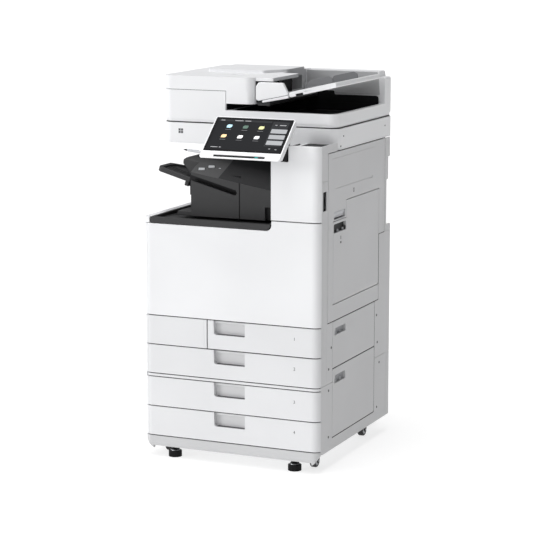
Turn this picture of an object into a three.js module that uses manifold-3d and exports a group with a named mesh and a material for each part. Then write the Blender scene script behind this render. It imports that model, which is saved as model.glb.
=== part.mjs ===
// Floor-standing colour photocopier: four paper drawers, an engine behind one front door, an inner
// finisher in the delivery space, a flatbed reader and an automatic document feeder, on casters and
// levelling feet. Millimetres, +Z up. The layout is measured from the machine's left side (x), its
// front face (y, going back) and a level just above the floor (z). The last lines move it so that the
// origin is the middle of its footprint, on the floor.
import * as THREE from 'three';
import { mergeVertices } from 'three/addons/utils/BufferGeometryUtils.js';
import Module from 'manifold-3d';

const wasm = await Module();
wasm.setup();

// ---- Driving dimensions ---------------------------------------------------------------------------------
const WIDTH = 565;
const SIDE_BACK = 578;           // back edge of the side covers
const READER_BACK = 572;         // back of the reader and the feeder
const TOTAL_DEPTH = 650;         // back of the rear cover
const FRONT_DEPTH = 18;          // how far the front covers wrap round the corners
const CORNER_WIDTH = 25;         // width of that round corner, seen from the front
const SHUT = 1.5;                // half of a shut line between covers
const CLEAR = 0.4;               // gap between pieces that rest on each other
const SKIN = 3;                  // moulded cover wall
const SHEET = 3;                 // chassis plate

const FLOOR_Z = -8;              // the floor, in the layout
const CHASSIS_Z = 46;            // underside of the chassis
const SKIRT_Z = 45;              // lower edge of the side covers
const BASE_TOP = 57;             // shut line under drawer 4
const MODULE_Z = 248;            // joint between the cassette module and the main unit
const DOOR_Z = 425;              // shut line under the front door
const DRAWER_PITCH = (DOOR_Z - MODULE_Z) / 2;
const DECK_Z = 702.5;            // top of the engine compartment
const DELIVERY_Z = 720;          // lip of the delivery tray
const DOOR_STEP_Z = 731.5;       // shut line between the door and the column cover
const LEDGE_Z = 904;             // ledge of the column, under the control panel
const COVER_TOP_Z = 924;         // top of the doors and plates on the right side
const COLUMN_TOP_Z = 950;
const READER_Z = 927;            // underside of the reader
const GLASS_Z = 988;             // top of the reader
const FEEDER_SEAM_Z = 1087;
const FEEDER_TOP_Z = 1128;
const CROWN_Z = 1136;
const RIM_Z = 1030;              // rim of the document output tray
const READER_Y = 135;            // front of the reader and the feeder
const COLUMN_X = 413.5;          // left side of the column
const WASTE_X = 208.5;           // shut line between the waste cover and drawer 1
const CHASSIS_LEFT = 6;
const CHASSIS_RIGHT = 544;
const CHASSIS_FRONT = 24;
const CHASSIS_BACK = 574;

const ROUND = 24;                // sides of a round piece
const BIG = 2000;

// ---- Colours --------------------------------------------------------------------------------------------
const WHITE = 0xeff0f2;
const GREY = 0xd9dadd;
const CHARCOAL = 0x3a3b3d;
const BLACK = 0x17181a;
const STEEL = 0xa9adb1;

// ---- Solids ---------------------------------------------------------------------------------------------
function toSolid(geometry) {
  const bare = geometry.clone();
  bare.deleteAttribute('normal');
  bare.deleteAttribute('uv');
  const merged = mergeVertices(bare, 1e-4);
  return new wasm.Manifold(new wasm.Mesh({
    numProp: 3,
    vertProperties: new Float32Array(merged.attributes.position.array),
    triVerts: new Uint32Array(merged.index.array),
  }));
}

function toGeometry(solid) {
  const mesh = solid.getMesh();
  const geometry = new THREE.BufferGeometry();
  geometry.setAttribute('position', new THREE.BufferAttribute(new Float32Array(mesh.vertProperties), 3));
  geometry.setIndex(new THREE.BufferAttribute(new Uint32Array(mesh.triVerts), 1));
  geometry.computeVertexNormals();
  return geometry;
}

function join(first, ...others) {
  return others.reduce((sum, other) => sum.add(other), first);
}

function cut(first, ...others) {
  return others.reduce((rest, other) => rest.subtract(other), first);
}

function box(x0, x1, y0, y1, z0, z1) {
  const geometry = new THREE.BoxGeometry(x1 - x0, y1 - y0, z1 - z0);
  geometry.translate((x0 + x1) / 2, (y0 + y1) / 2, (z0 + z1) / 2);
  return toSolid(geometry);
}

function outline(points) {
  return new THREE.Shape(points.map(([a, b]) => new THREE.Vector2(a, b)));
}

function extrude(shape, depth) {
  return new THREE.ExtrudeGeometry(shape, { depth, bevelEnabled: false, curveSegments: 6 });
}

// Prism of an (x, y) shape from z0 to z1.
function prismZ(shape, z0, z1) {
  const geometry = extrude(shape, z1 - z0);
  geometry.translate(0, 0, z0);
  return toSolid(geometry);
}

// Prism of an (x, z) outline from y0 to y1.
function prismY(points, y0, y1) {
  const geometry = extrude(outline(points), y1 - y0);
  geometry.rotateX(Math.PI / 2);
  geometry.translate(0, y1, 0);
  return toSolid(geometry);
}

// Prism of a (y, z) outline from x0 to x1.
function prismX(points, x0, x1) {
  const geometry = extrude(outline(points), x1 - x0);
  geometry.rotateY(Math.PI / 2);
  geometry.rotateX(Math.PI / 2);
  geometry.translate(x0, 0, 0);
  return toSolid(geometry);
}

function cylinder(axis, radius, from, to, a, b, sides = ROUND) {
  const geometry = new THREE.CylinderGeometry(radius, radius, to - from, sides);
  const middle = (from + to) / 2;
  if (axis === 'x') {
    geometry.rotateZ(Math.PI / 2);
    geometry.translate(middle, a, b);
  } else if (axis === 'y') {
    geometry.translate(a, middle, b);
  } else {
    geometry.rotateX(Math.PI / 2);
    geometry.translate(a, b, middle);
  }
  return toSolid(geometry);
}

// Rectangle in plan with its two front corners rounded.
function roundedPlan(x0, x1, y0, y1, rx, ry, left = true, right = true) {
  const shape = new THREE.Shape();
  shape.moveTo(x0, y1);
  if (left) {
    shape.lineTo(x0, y0 + ry);
    shape.absellipse(x0 + rx, y0 + ry, rx, ry, Math.PI, Math.PI * 1.5, false);
  } else {
    shape.lineTo(x0, y0);
  }
  if (right) {
    shape.lineTo(x1 - rx, y0);
    shape.absellipse(x1 - rx, y0 + ry, rx, ry, Math.PI * 1.5, Math.PI * 2, false);
  } else {
    shape.lineTo(x1, y0);
  }
  shape.lineTo(x1, y1);
  return shape;
}

// Front cover with its liner, as one slab: rounded where it meets the machine's sides.
function frontCover(x0, x1, z0, z1, left, right) {
  return prismZ(roundedPlan(x0, x1, 0, FRONT_DEPTH, CORNER_WIDTH, FRONT_DEPTH, left, right), z0, z1);
}

// ---- The scene graph ------------------------------------------------------------------------------------
const machine = new THREE.Group();

function add(parent, name, solid, color, roughness = 0.5, metalness = 0) {
  const material = new THREE.MeshStandardMaterial({ color, roughness, metalness });
  const mesh = new THREE.Mesh(toGeometry(solid), material);
  mesh.name = name;
  parent.add(mesh);
  return mesh;
}

function turnedGroup(x, y, z, rx, ry) {
  const group = new THREE.Group();
  group.position.set(x, y, z);
  group.rotation.set(rx, ry, 0);
  machine.add(group);
  return group;
}

// ---- Chassis --------------------------------------------------------------------------------------------
const ADJUSTERS = [[88, 26], [479, 26]];
const STEM_RADIUS = 6;
const DIVIDER_X = 212;
const RAIL_HEIGHT = 4;
const RUNNER_LIFT = 20;          // underside of a drawer's runner above the bottom of its face
const JOINT_STRIP = 10;          // height of the strip under the joint between the two modules
const LOW_DRAWER_Z = BASE_TOP + (MODULE_Z - BASE_TOP - JOINT_STRIP) / 2;
const DRAWER_FLOORS = [MODULE_Z + DRAWER_PITCH, MODULE_Z, LOW_DRAWER_Z, BASE_TOP];
const DRAWER_TOPS = [DOOR_Z, MODULE_Z + DRAWER_PITCH, MODULE_Z - JOINT_STRIP, LOW_DRAWER_Z];
const DRAWER_BACK = 560;

function mainFrame() {
  const plate = (x0, x1, z0, z1, y0 = CHASSIS_FRONT, y1 = CHASSIS_BACK) => box(x0, x1, y0, y1, z0, z1);
  const post = { x1: 60, y0: 540 };
  const rightWall = CHASSIS_RIGHT - SHEET;
  const plates = [
    plate(CHASSIS_LEFT, CHASSIS_LEFT + SHEET, CHASSIS_Z, DECK_Z),
    plate(rightWall, CHASSIS_RIGHT, CHASSIS_Z, COVER_TOP_Z),
    plate(CHASSIS_LEFT, 559, CHASSIS_Z, CHASSIS_Z + SHEET + 1),
    plate(CHASSIS_LEFT, CHASSIS_RIGHT, CHASSIS_Z, COVER_TOP_Z, CHASSIS_BACK - SHEET),
    plate(CHASSIS_LEFT, CHASSIS_RIGHT, MODULE_Z - 8.5, MODULE_Z - 1.5, 3),
    plate(CHASSIS_LEFT, CHASSIS_RIGHT, DOOR_Z + 2.5, DOOR_Z + 5.5),
    plate(CHASSIS_LEFT, CHASSIS_RIGHT, DECK_Z - SHEET, DECK_Z),
    plate(COLUMN_X + 4, COLUMN_X + 4 + SHEET, DECK_Z - SHEET, LEDGE_Z - 8),
    plate(COLUMN_X + 4, CHASSIS_RIGHT, LEDGE_Z - 11, LEDGE_Z - 8),
    plate(CHASSIS_LEFT, post.x1, DECK_Z - SHEET, COVER_TOP_Z, post.y0),
    plate(DIVIDER_X, DIVIDER_X + SHEET, 345, DOOR_Z + 3, 30),
  ];
  const rails = DRAWER_FLOORS.flatMap((floor, index) => {
    const z1 = floor + RUNNER_LIFT - CLEAR;
    const left = index === 0 ? DIVIDER_X + SHEET - 1 : CHASSIS_LEFT + SHEET - 1;
    return [[left, left + 9], [rightWall - 8, rightWall + 1]].map(
      ([x0, x1]) => box(x0, x1, 60, DRAWER_BACK, z1 - RAIL_HEIGHT, z1));
  });
  const holes = ADJUSTERS.map(
    ([x, y]) => cylinder('z', STEM_RADIUS + 0.5, CHASSIS_Z - 1, CHASSIS_Z + 8, x, y));
  const postHollow = box(CHASSIS_LEFT + SHEET, post.x1 - SHEET, post.y0 + SHEET, CHASSIS_BACK - SHEET,
    DECK_Z - SHEET - 1, COVER_TOP_Z - SHEET);
  return cut(join(...plates, ...rails), ...holes, postHollow);
}
add(machine, 'main_frame', mainFrame(), STEEL, 0.45, 0.8);

// ---- Front covers and drawers ---------------------------------------------------------------------------
const GRIP_X0 = 229;
const GRIP_X1 = 330;
const GRIP_HEIGHT = 42;
const GRIP_DEPTH = 14;
const BOX_LEFT = 20;
const BOX_RIGHT = 528;
const BOX_WALL = 2.5;
const BOX_HEIGHT = 60;

function gripRecess(z1) {
  const taper = 7;
  const points = [[GRIP_X0, z1 + 1], [GRIP_X0 + taper, z1 - GRIP_HEIGHT], [GRIP_X1, z1 - GRIP_HEIGHT],
    [GRIP_X1, z1 + 1]];
  return prismY(points, -1, GRIP_DEPTH);
}

function drawerFront(x0, x1, z0, z1) {
  return cut(frontCover(x0, x1, z0, z1, x0 === 0, true), gripRecess(z1));
}

function drawerBox(x0, x1, z0) {
  const y0 = FRONT_DEPTH + CLEAR;
  const bottom = z0 + 8;
  const top = bottom + BOX_HEIGHT;
  const outer = box(x0, x1, y0, DRAWER_BACK, bottom, top);
  const inner = box(x0 + BOX_WALL, x1 - BOX_WALL, y0 + BOX_WALL, DRAWER_BACK - BOX_WALL,
    bottom + BOX_WALL, top + 1);
  const runnerZ = z0 + RUNNER_LIFT;
  const runners = [[x0 - 7, x0 + 1], [x1 - 1, x1 + 7]].map(
    ([a, b]) => box(a, b, 60, DRAWER_BACK, runnerZ, runnerZ + RAIL_HEIGHT));
  return cut(join(outer, ...runners), inner);
}

DRAWER_FLOORS.forEach((floor, index) => {
  const first = index === 0;
  const number = index + 1;
  const x0 = first ? WASTE_X + SHUT : 0;
  const face = drawerFront(x0, WIDTH, floor + SHUT, DRAWER_TOPS[index] - SHUT);
  add(machine, `drawer_front_${number}`, face, WHITE);
  const boxLeft = first ? DIVIDER_X + SHEET + 8 : BOX_LEFT - 1;
  add(machine, `drawer_box_${number}`, drawerBox(boxLeft, BOX_RIGHT, floor), CHARCOAL);
});

function wasteCover() {
  return frontCover(0, WASTE_X - SHUT, DRAWER_FLOORS[0] + SHUT, DOOR_Z - SHUT, true, false);
}
add(machine, 'waste_cover', wasteCover(), WHITE);
add(machine, 'waste_toner_box', join(
  box(26, 196, 30, 330, 350, 412),
  cylinder('y', 12, 330 - 1, 352, 110, 381),
), 0xc9ccd0, 0.4);

function frontDoor() {
  const low = frontCover(0, WIDTH, DOOR_Z + SHUT, DECK_Z - SHUT, true, true);
  const high = frontCover(COLUMN_X + SHUT, WIDTH, DOOR_Z + SHUT, DOOR_STEP_Z - SHUT, false, true);
  return join(low, high);
}
add(machine, 'front_door', frontDoor(), WHITE);

function baseCover() {
  const low = 20;
  const corner = 24;
  const lip = 9;
  const wall = SKIN + 1;
  const plan = roundedPlan(0, WIDTH, 0, FRONT_DEPTH, CORNER_WIDTH, FRONT_DEPTH);
  const slab = prismZ(plan, low, BASE_TOP - SHUT);
  const face = prismY([[0, BASE_TOP], [0, SKIRT_Z], [corner, low], [WIDTH - corner, low], [WIDTH, SKIRT_Z],
    [WIDTH, BASE_TOP]], -1, FRONT_DEPTH + 1);
  const side = prismX([[0, BASE_TOP], [0, low + 2 * lip], [lip * 0.3, low + lip * 0.8], [lip, low],
    [FRONT_DEPTH, low], [FRONT_DEPTH, BASE_TOP]], -1, WIDTH + 1);
  const hollow = box(CORNER_WIDTH, WIDTH - CORNER_WIDTH, wall, FRONT_DEPTH + 1, low - 1,
    BASE_TOP - SHUT - wall);
  return cut(slab.intersect(face).intersect(side), hollow);
}
add(machine, 'base_cover', baseCover(), WHITE);

function columnCover() {
  const step = 468;
  const z0 = DOOR_STEP_Z + SHUT;
  const tall = frontCover(COLUMN_X, WIDTH, z0, COLUMN_TOP_Z, false, true);
  const inner = roundedPlan(COLUMN_X + SKIN, WIDTH - SKIN, SKIN, FRONT_DEPTH + SKIN, CORNER_WIDTH - SKIN,
    FRONT_DEPTH - SKIN, false, true);
  const hollow = prismZ(inner, z0 + SKIN, COLUMN_TOP_Z - SKIN);
  const notch = box(COLUMN_X - 1, step, -1, FRONT_DEPTH + 1, LEDGE_Z, COLUMN_TOP_Z + 1);
  const back = READER_Y - 1;
  return join(
    cut(tall, hollow, notch),
    box(COLUMN_X, COLUMN_X + SKIN, 0, back, z0, LEDGE_Z),
    box(COLUMN_X, step + SKIN, 0, back, LEDGE_Z - SKIN, LEDGE_Z),
    box(step, step + SKIN, 0, back, LEDGE_Z - SKIN, COLUMN_TOP_Z),
    box(step, WIDTH - SKIN - 2 * CLEAR, FRONT_DEPTH - 2, back, COLUMN_TOP_Z - 10, COLUMN_TOP_Z - 6),
  );
}
add(machine, 'column_cover', columnCover(), WHITE);

// ---- Side and rear covers -------------------------------------------------------------------------------
const DOOR_THICK = 12;           // depth of the doors in the right side
const RIGHT_COVER = { front: 66, back: 527, lowBack: 479, stepZ: 635, z0: 430, z1: COVER_TOP_Z };
const ACCESS = { front: 106, back: 448 };
const UPPER_ACCESS = { z0: 288.5, z1: 427 };
const LOWER_ACCESS = { z0: 80.5, z1: 285.5 };
const BYPASS = { front: 106, back: 477.5, z0: 479, z1: 774, latchBack: 209, latchZ: 722 };

function rightCoverOutline(grow) {
  const { front, back, lowBack, stepZ, z0, z1 } = RIGHT_COVER;
  return [[front - grow, z0 - grow], [lowBack + grow, z0 - grow], [lowBack + grow, stepZ - grow],
    [back + grow, stepZ - grow], [back + grow, z1 + grow], [front - grow, z1 + grow]];
}

function bypassOutline(grow, openBack) {
  const { front, back, z0, z1, latchBack, latchZ } = BYPASS;
  const rear = openBack ? back + 20 : back;
  const rearTop = openBack ? back + grow : back;
  const stepZ = RIGHT_COVER.stepZ - SHUT;
  return [[front - grow, z0 - grow], [rear, z0 - grow], [rear, stepZ], [rearTop, stepZ],
    [rearTop, z1 + grow], [latchBack - grow, z1 + grow], [latchBack - grow, latchZ + grow],
    [front - grow, latchZ + grow]];
}

function rightSideCover() {
  const gap = 2.5;
  const steps = [[SIDE_BACK, 655], [543, 655], [543, 795], [556, 795], [556, 865], [570, 865],
    [570, COVER_TOP_Z]];
  const panel = prismX([[FRONT_DEPTH + CLEAR, SKIRT_Z], [SIDE_BACK, SKIRT_Z], ...steps,
    [READER_Y - 1, COVER_TOP_Z], [READER_Y - 1, COLUMN_TOP_Z], [FRONT_DEPTH + CLEAR, COLUMN_TOP_Z]],
  WIDTH - SKIN, WIDTH);
  const windows = [
    prismX(rightCoverOutline(gap), WIDTH - SKIN - 1, WIDTH + 1),
    box(WIDTH - SKIN - 1, WIDTH + 1, ACCESS.front - gap, ACCESS.back + gap, UPPER_ACCESS.z0 - gap,
      UPPER_ACCESS.z1 + gap),
    box(WIDTH - SKIN - 1, WIDTH + 1, ACCESS.front - gap, ACCESS.back + gap, LOWER_ACCESS.z0 - gap,
      LOWER_ACCESS.z1 + gap),
    box(WIDTH - SKIN - 1, WIDTH + 1, 41, 54, 762, 818),
  ];
  return cut(panel, ...windows);
}
add(machine, 'right_side_cover', rightSideCover(), GREY);

function rightCover() {
  const inner = WIDTH - 18;
  const slab = prismX(rightCoverOutline(0), inner, WIDTH);
  const pocket = prismX(bypassOutline(2, true), WIDTH - DOOR_THICK, WIDTH + 1);
  const feedSlot = box(inner - 1, WIDTH, 140, 440, 490, 502);
  const latchPocket = box(WIDTH - 10, WIDTH + 1, 110, 200, 727, 750);
  return cut(slab, pocket, feedSlot, latchPocket);
}
add(machine, 'right_cover', rightCover(), GREY);

function rightCoverLatch() {
  return join(
    box(WIDTH - 9, WIDTH - 4, 112, 198, 740, 748),
    box(WIDTH - 9, WIDTH - 7, 112, 198, 730, 741),
    cylinder('y', 2.4, 112, 198, WIDTH - 6.5, 745.5, 12),
  );
}
add(machine, 'right_cover_latch', rightCoverLatch(), GREY);

function bypassTray() {
  const plate = prismX(bypassOutline(0, false), WIDTH - DOOR_THICK + CLEAR + 0.3, WIDTH);
  const bed = box(WIDTH - DOOR_THICK - 1, WIDTH - SKIN, 125, 460, 500, 700);
  const grip = box(WIDTH - 9, WIDTH + 1, 110, 207, 688, 714);
  return cut(plate, bed, grip);
}
add(machine, 'bypass_tray', bypassTray(), GREY);

function accessDoor({ z0, z1 }, gripZ0, gripZ1) {
  const inner = WIDTH - DOOR_THICK;
  const slab = box(inner, WIDTH, ACCESS.front, ACCESS.back, z0, z1);
  const hollow = box(inner - 1, WIDTH - SKIN, ACCESS.front + SKIN, ACCESS.back - SKIN, z0 + SKIN, z1 - SKIN);
  const cup = box(inner, WIDTH - 1, 119, 211, gripZ0 - SKIN, gripZ1 + SKIN);
  const grip = box(inner + SKIN, WIDTH + 1, 122, 208, gripZ0, gripZ1);
  return cut(join(cut(slab, hollow), cup), grip);
}
add(machine, 'upper_access_door', accessDoor(UPPER_ACCESS, 384, 405), GREY);
add(machine, 'lower_access_door', accessDoor(LOWER_ACCESS, 239, 263), GREY);

// The left side cover ends in a rim beside the delivery tray.
const LEFT_RIM = 21.6;
function leftSideCover() {
  const rim = roundedPlan(0, LEFT_RIM, 0, 538, LEFT_RIM - 1, FRONT_DEPTH, true, false);
  return join(
    box(0, SKIN, FRONT_DEPTH + CLEAR, SIDE_BACK, SKIRT_Z, DECK_Z + 2),
    prismZ(rim, DECK_Z + 0.5, DELIVERY_Z),
  );
}
add(machine, 'left_side_cover', leftSideCover(), GREY);

function powerSwitch() {
  const middle = 790;
  const face = WIDTH - 4;
  const rocker = [[face - 5, middle - 22], [face, middle - 22], [face - 3, middle], [face, middle + 22],
    [face - 5, middle + 22]];
  return join(box(face - 10, face - 4, 43, 52, middle - 24, middle + 24), prismY(rocker, 43, 52));
}
add(machine, 'power_switch', powerSwitch(), BLACK, 0.4);

const REAR_COVER = { x0: 12, x1: 515, z0: 50, z1: COVER_TOP_Z - 4 };
const INLET = { x0: 60, x1: 108, z0: 118, z1: 150 };
function rearCover() {
  const { x0, x1, z0, z1 } = REAR_COVER;
  const outer = box(x0, x1, CHASSIS_BACK + 2, TOTAL_DEPTH, z0, z1);
  const inner = box(x0 + SKIN, x1 - SKIN, CHASSIS_BACK, TOTAL_DEPTH - SKIN, z0 + SKIN, z1 - SKIN);
  const socket = box(INLET.x0, INLET.x1, TOTAL_DEPTH - 10, TOTAL_DEPTH + 1, INLET.z0, INLET.z1);
  return cut(outer, inner, socket);
}
add(machine, 'rear_cover', rearCover(), GREY);

function powerInlet() {
  const { x0, x1, z0, z1 } = INLET;
  const flange = box(x0 + CLEAR, x1 - CLEAR, TOTAL_DEPTH - 28, TOTAL_DEPTH - 0.5, z0 + CLEAR, z1 - CLEAR);
  const well = box(x0 + 10, x1 - 10, TOTAL_DEPTH - 22, TOTAL_DEPTH + 1, z0 + 7, z1 - 7);
  const middle = (x0 + x1) / 2;
  const pins = [-8, 0, 8].map((dx) => box(middle + dx - 2, middle + dx + 2, TOTAL_DEPTH - 23, TOTAL_DEPTH - 6,
    z0 + 12, z0 + 19));
  return join(cut(flange, well), ...pins);
}
add(machine, 'power_inlet', powerInlet(), BLACK, 0.4);

// ---- Engine ---------------------------------------------------------------------------------------------
const BOTTLE_RADIUS = 34;
const BOTTLE_Z = 650;
const BOTTLES = [78, 172, 266, 360];
const TONERS = [0xd8b400, 0xa81d63, 0x0b77a8, 0x1c1c1e];

function innerCover() {
  const plate = box(14, 536, 28, 33, DOOR_Z + 9, DECK_Z - 5);
  const holes = BOTTLES.map((x) => cylinder('y', BOTTLE_RADIUS + 5, 20, 40, x, BOTTLE_Z));
  const window = box(40, 440, 20, 40, 520, 600);
  return cut(plate, window, ...holes);
}
add(machine, 'inner_cover', innerCover(), GREY);

function tonerBottle(x) {
  const fins = [0, 1, 2].map((k) => {
    const geometry = new THREE.BoxGeometry(BOTTLE_RADIUS * 1.2, 8, 5);
    geometry.rotateY((k * Math.PI) / 3);
    geometry.translate(x, 31, BOTTLE_Z);
    return toSolid(geometry);
  });
  return join(
    cylinder('y', BOTTLE_RADIUS, 48, 400, x, BOTTLE_Z),
    cylinder('y', BOTTLE_RADIUS * 0.8, 34, 49, x, BOTTLE_Z),
    cylinder('y', BOTTLE_RADIUS * 0.5, 399, 440, x, BOTTLE_Z),
    ...fins,
  );
}
BOTTLES.forEach((x, index) => add(machine, `toner_bottle_${index + 1}`, tonerBottle(x), TONERS[index], 0.45));

function processUnit() {
  const tray = box(45, 435, 45, 480, 530, 560);
  const drums = BOTTLES.map((x) => join(
    cylinder('y', 15, 42, 483, x + 10, 575),
    box(x - 25, x + 2, 45, 480, 555, 588),
    box(x, x + 12, 45, 480, 555, 570),
  ));
  return join(tray, ...drums);
}
add(machine, 'process_unit', processUnit(), BLACK, 0.35);

function transferBelt() {
  const shape = new THREE.Shape();
  shape.absarc(60, 605, 9, Math.PI / 2, Math.PI * 1.5, false);
  shape.absarc(425, 605, 9, -Math.PI / 2, Math.PI / 2, false);
  const geometry = extrude(shape, 430);
  geometry.rotateX(Math.PI / 2);
  geometry.translate(0, 480, 0);
  return toSolid(geometry);
}
add(machine, 'transfer_belt', transferBelt(), 0x2a2320, 0.3);
add(machine, 'laser_scanner', join(box(45, 435, 45, 470, 448, 500), ...BOTTLES.map(
  (x) => box(x, x + 20, 60, 450, 499, 512))), BLACK, 0.6);
add(machine, 'fixing_unit', join(
  box(432, 532, 60, 520, 745, 850),
  cylinder('y', 18, 61, 519, 470, 856),
  cylinder('y', 18, 61, 519, 510, 856),
), BLACK, 0.5);

// ---- Delivery tray and inner finisher -------------------------------------------------------------------
function deliveryTray() {
  const lip = 9;
  const left = LEFT_RIM + CLEAR;
  const shape = roundedPlan(left, COLUMN_X - SHUT, 0, CHASSIS_BACK - SHEET - 1, 6, 6, true, false);
  const slab = prismZ(shape, DECK_Z + 0.5, DELIVERY_Z);
  const well = box(left + lip, COLUMN_X, 14, 538, DECK_Z + 8, DELIVERY_Z + 1);
  const post = box(-1, 62, 538, 600, DECK_Z, DELIVERY_Z + 1);
  return cut(slab, well, post);
}
add(machine, 'delivery_tray', deliveryTray(), CHARCOAL);

const FINISHER = { x0: 129.5, x1: 411, y0: 60, y1: 535, z0: DELIVERY_Z + 1, z1: 888 };
const KEY_SIZE = 12;

// Solid block that fills everything above the plane through three points.
function above(a, b, c) {
  const [pa, pb, pc] = [a, b, c].map((p) => new THREE.Vector3(...p));
  const normal = new THREE.Vector3().crossVectors(pb.clone().sub(pa), pc.clone().sub(pa)).normalize();
  if (normal.z < 0) normal.negate();
  const geometry = new THREE.BoxGeometry(BIG, BIG, BIG);
  geometry.translate(0, 0, BIG / 2);
  geometry.applyQuaternion(new THREE.Quaternion().setFromUnitVectors(new THREE.Vector3(0, 0, 1), normal));
  geometry.translate(pa.x, pa.y, pa.z);
  return toSolid(geometry);
}

const SLOPE_A = [137, FINISHER.y0, 850];
const SLOPE_B = [384, FINISHER.y0, 809];
const SLOPE_C = [137, 138, 884];

function finisherBody() {
  const { x0, x1, y0, y1, z0, z1 } = FINISHER;
  const overhang = 50;
  const side = prismY([[x0, z0], [x1, z0], [x1, z1 - 6], [x1 - 90, z1], [x0 - overhang + 12, z1],
    [x0 - overhang, z1 - 8], [x0 - overhang, 868], [x0 - 16, 833], [x0, 833]], y0, y1);
  const slope = above(SLOPE_A, SLOPE_B, SLOPE_C);
  const slotGeometry = new THREE.BoxGeometry(170, 34, 18);
  slotGeometry.rotateY(THREE.MathUtils.degToRad(14.8));
  slotGeometry.translate(196, y0 + 16, 817);
  const exit = box(90, 175, 140, 470, 833, 853);
  const corner = box(x0 - overhang - 1, x0, y0 - 1, 112, 830, z1 + 1);
  const keyWells = KEYS.map((centre) => keyBlock(centre, KEY_SIZE + 1, 16));
  const footPlate = box(85, x0 + 1, y0, 500, z0, z0 + 13);
  return join(cut(side, slope, toSolid(slotGeometry), exit, corner, ...keyWells), footPlate);
}

// The keys sit in the sloping control surface. Their block is turned to that surface's normal.
const slopeNormal = (() => {
  const [a, b, c] = [SLOPE_A, SLOPE_B, SLOPE_C].map((p) => new THREE.Vector3(...p));
  const normal = new THREE.Vector3().crossVectors(b.clone().sub(a), c.clone().sub(a)).normalize();
  return normal.z < 0 ? normal.negate() : normal;
})();
const KEYS = [[153, 85], [175.5, 106]].map(([x, y]) => {
  const a = new THREE.Vector3(...SLOPE_A);
  const z = a.z - (slopeNormal.x * (x - a.x) + slopeNormal.y * (y - a.y)) / slopeNormal.z;
  return new THREE.Vector3(x, y, z);
});

function keyBlock(centre, size, height) {
  const geometry = new THREE.BoxGeometry(size * 1.5, size, height);
  const up = new THREE.Vector3(0, 0, 1);
  geometry.applyQuaternion(new THREE.Quaternion().setFromUnitVectors(up, slopeNormal));
  geometry.translate(centre.x, centre.y, centre.z);
  return toSolid(geometry);
}
add(machine, 'finisher_body', finisherBody(), CHARCOAL, 0.6);
KEYS.forEach((centre, index) => {
  const raised = centre.clone().addScaledVector(slopeNormal, -1.5);
  add(machine, `finisher_key_${index + 1}`, keyBlock(raised, KEY_SIZE, 6), 0x8d9094, 0.5);
});

// Stack tray: a narrow tongue in front of a wide bed, both sloping down towards the finisher, on a short
// carriage that rides up and down the finisher's side.
const STACK_SLOPE = THREE.MathUtils.degToRad(15.7);
function stackTray() {
  const shape = outline([[0, 106], [0, 330], [-54, 330], [-73, 230], [-108, 202], [-114, 192], [-114, 124],
    [-110, 112], [-100, 106]]);
  const bed = prismZ(shape, -14, 0);
  const lip = prismZ(outline([[-54, 106], [-48, 106], [-48, 330], [-54, 330]]), -14, 3);
  const rib = box(-16, -2, 108, 150, -28, -13);
  const carriage = box(-20, 24, 150, 310, -14, -3);
  return join(bed, lip, rib, carriage);
}
const stackGroup = turnedGroup(106, 0, 827, 0, STACK_SLOPE);
add(stackGroup, 'stack_tray', stackTray(), CHARCOAL, 0.6);

// ---- Reader ---------------------------------------------------------------------------------------------
const GLASS = { x0: 40, x1: 500, y0: 172, y1: 498 };
function readerHousing() {
  const outer = prismZ(roundedPlan(0, WIDTH, READER_Y, READER_BACK, 30, 30), READER_Z, GLASS_Z);
  const hollow = box(12, WIDTH - 12, READER_Y + 18, READER_BACK - 12, READER_Z + 6, GLASS_Z - 6);
  const seat = box(GLASS.x0, GLASS.x1, GLASS.y0, GLASS.y1, GLASS_Z - 4, GLASS_Z + 1);
  const through = box(GLASS.x0 + 6, GLASS.x1 - 6, GLASS.y0 + 6, GLASS.y1 - 6, GLASS_Z - 8, GLASS_Z + 1);
  return cut(outer, hollow, seat, through);
}
add(machine, 'reader_housing', readerHousing(), WHITE);
add(machine, 'platen_glass', box(GLASS.x0 + CLEAR, GLASS.x1 - CLEAR, GLASS.y0 + CLEAR, GLASS.y1 - CLEAR,
  GLASS_Z - 4 + CLEAR, GLASS_Z), 0xbfd6dc, 0.05);
add(machine, 'scan_carriage', join(
  box(20, 78, 160, 554, READER_Z + 14, READER_Z + 40),
  box(42, 56, 165, 549, READER_Z + 39, READER_Z + 46),
), BLACK, 0.5);

// ---- Document feeder ------------------------------------------------------------------------------------
const FEEDER_Z = GLASS_Z + 1;
const BLOCK_X = 208;             // right side of the feeder's left block
const NECK_X = 300;              // right side of the feed roller housing
const BACK_WALL_Y = 520;
const CHEEK_Y = READER_Y + 5;
const HINGE_CLEAR = 2;

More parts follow.
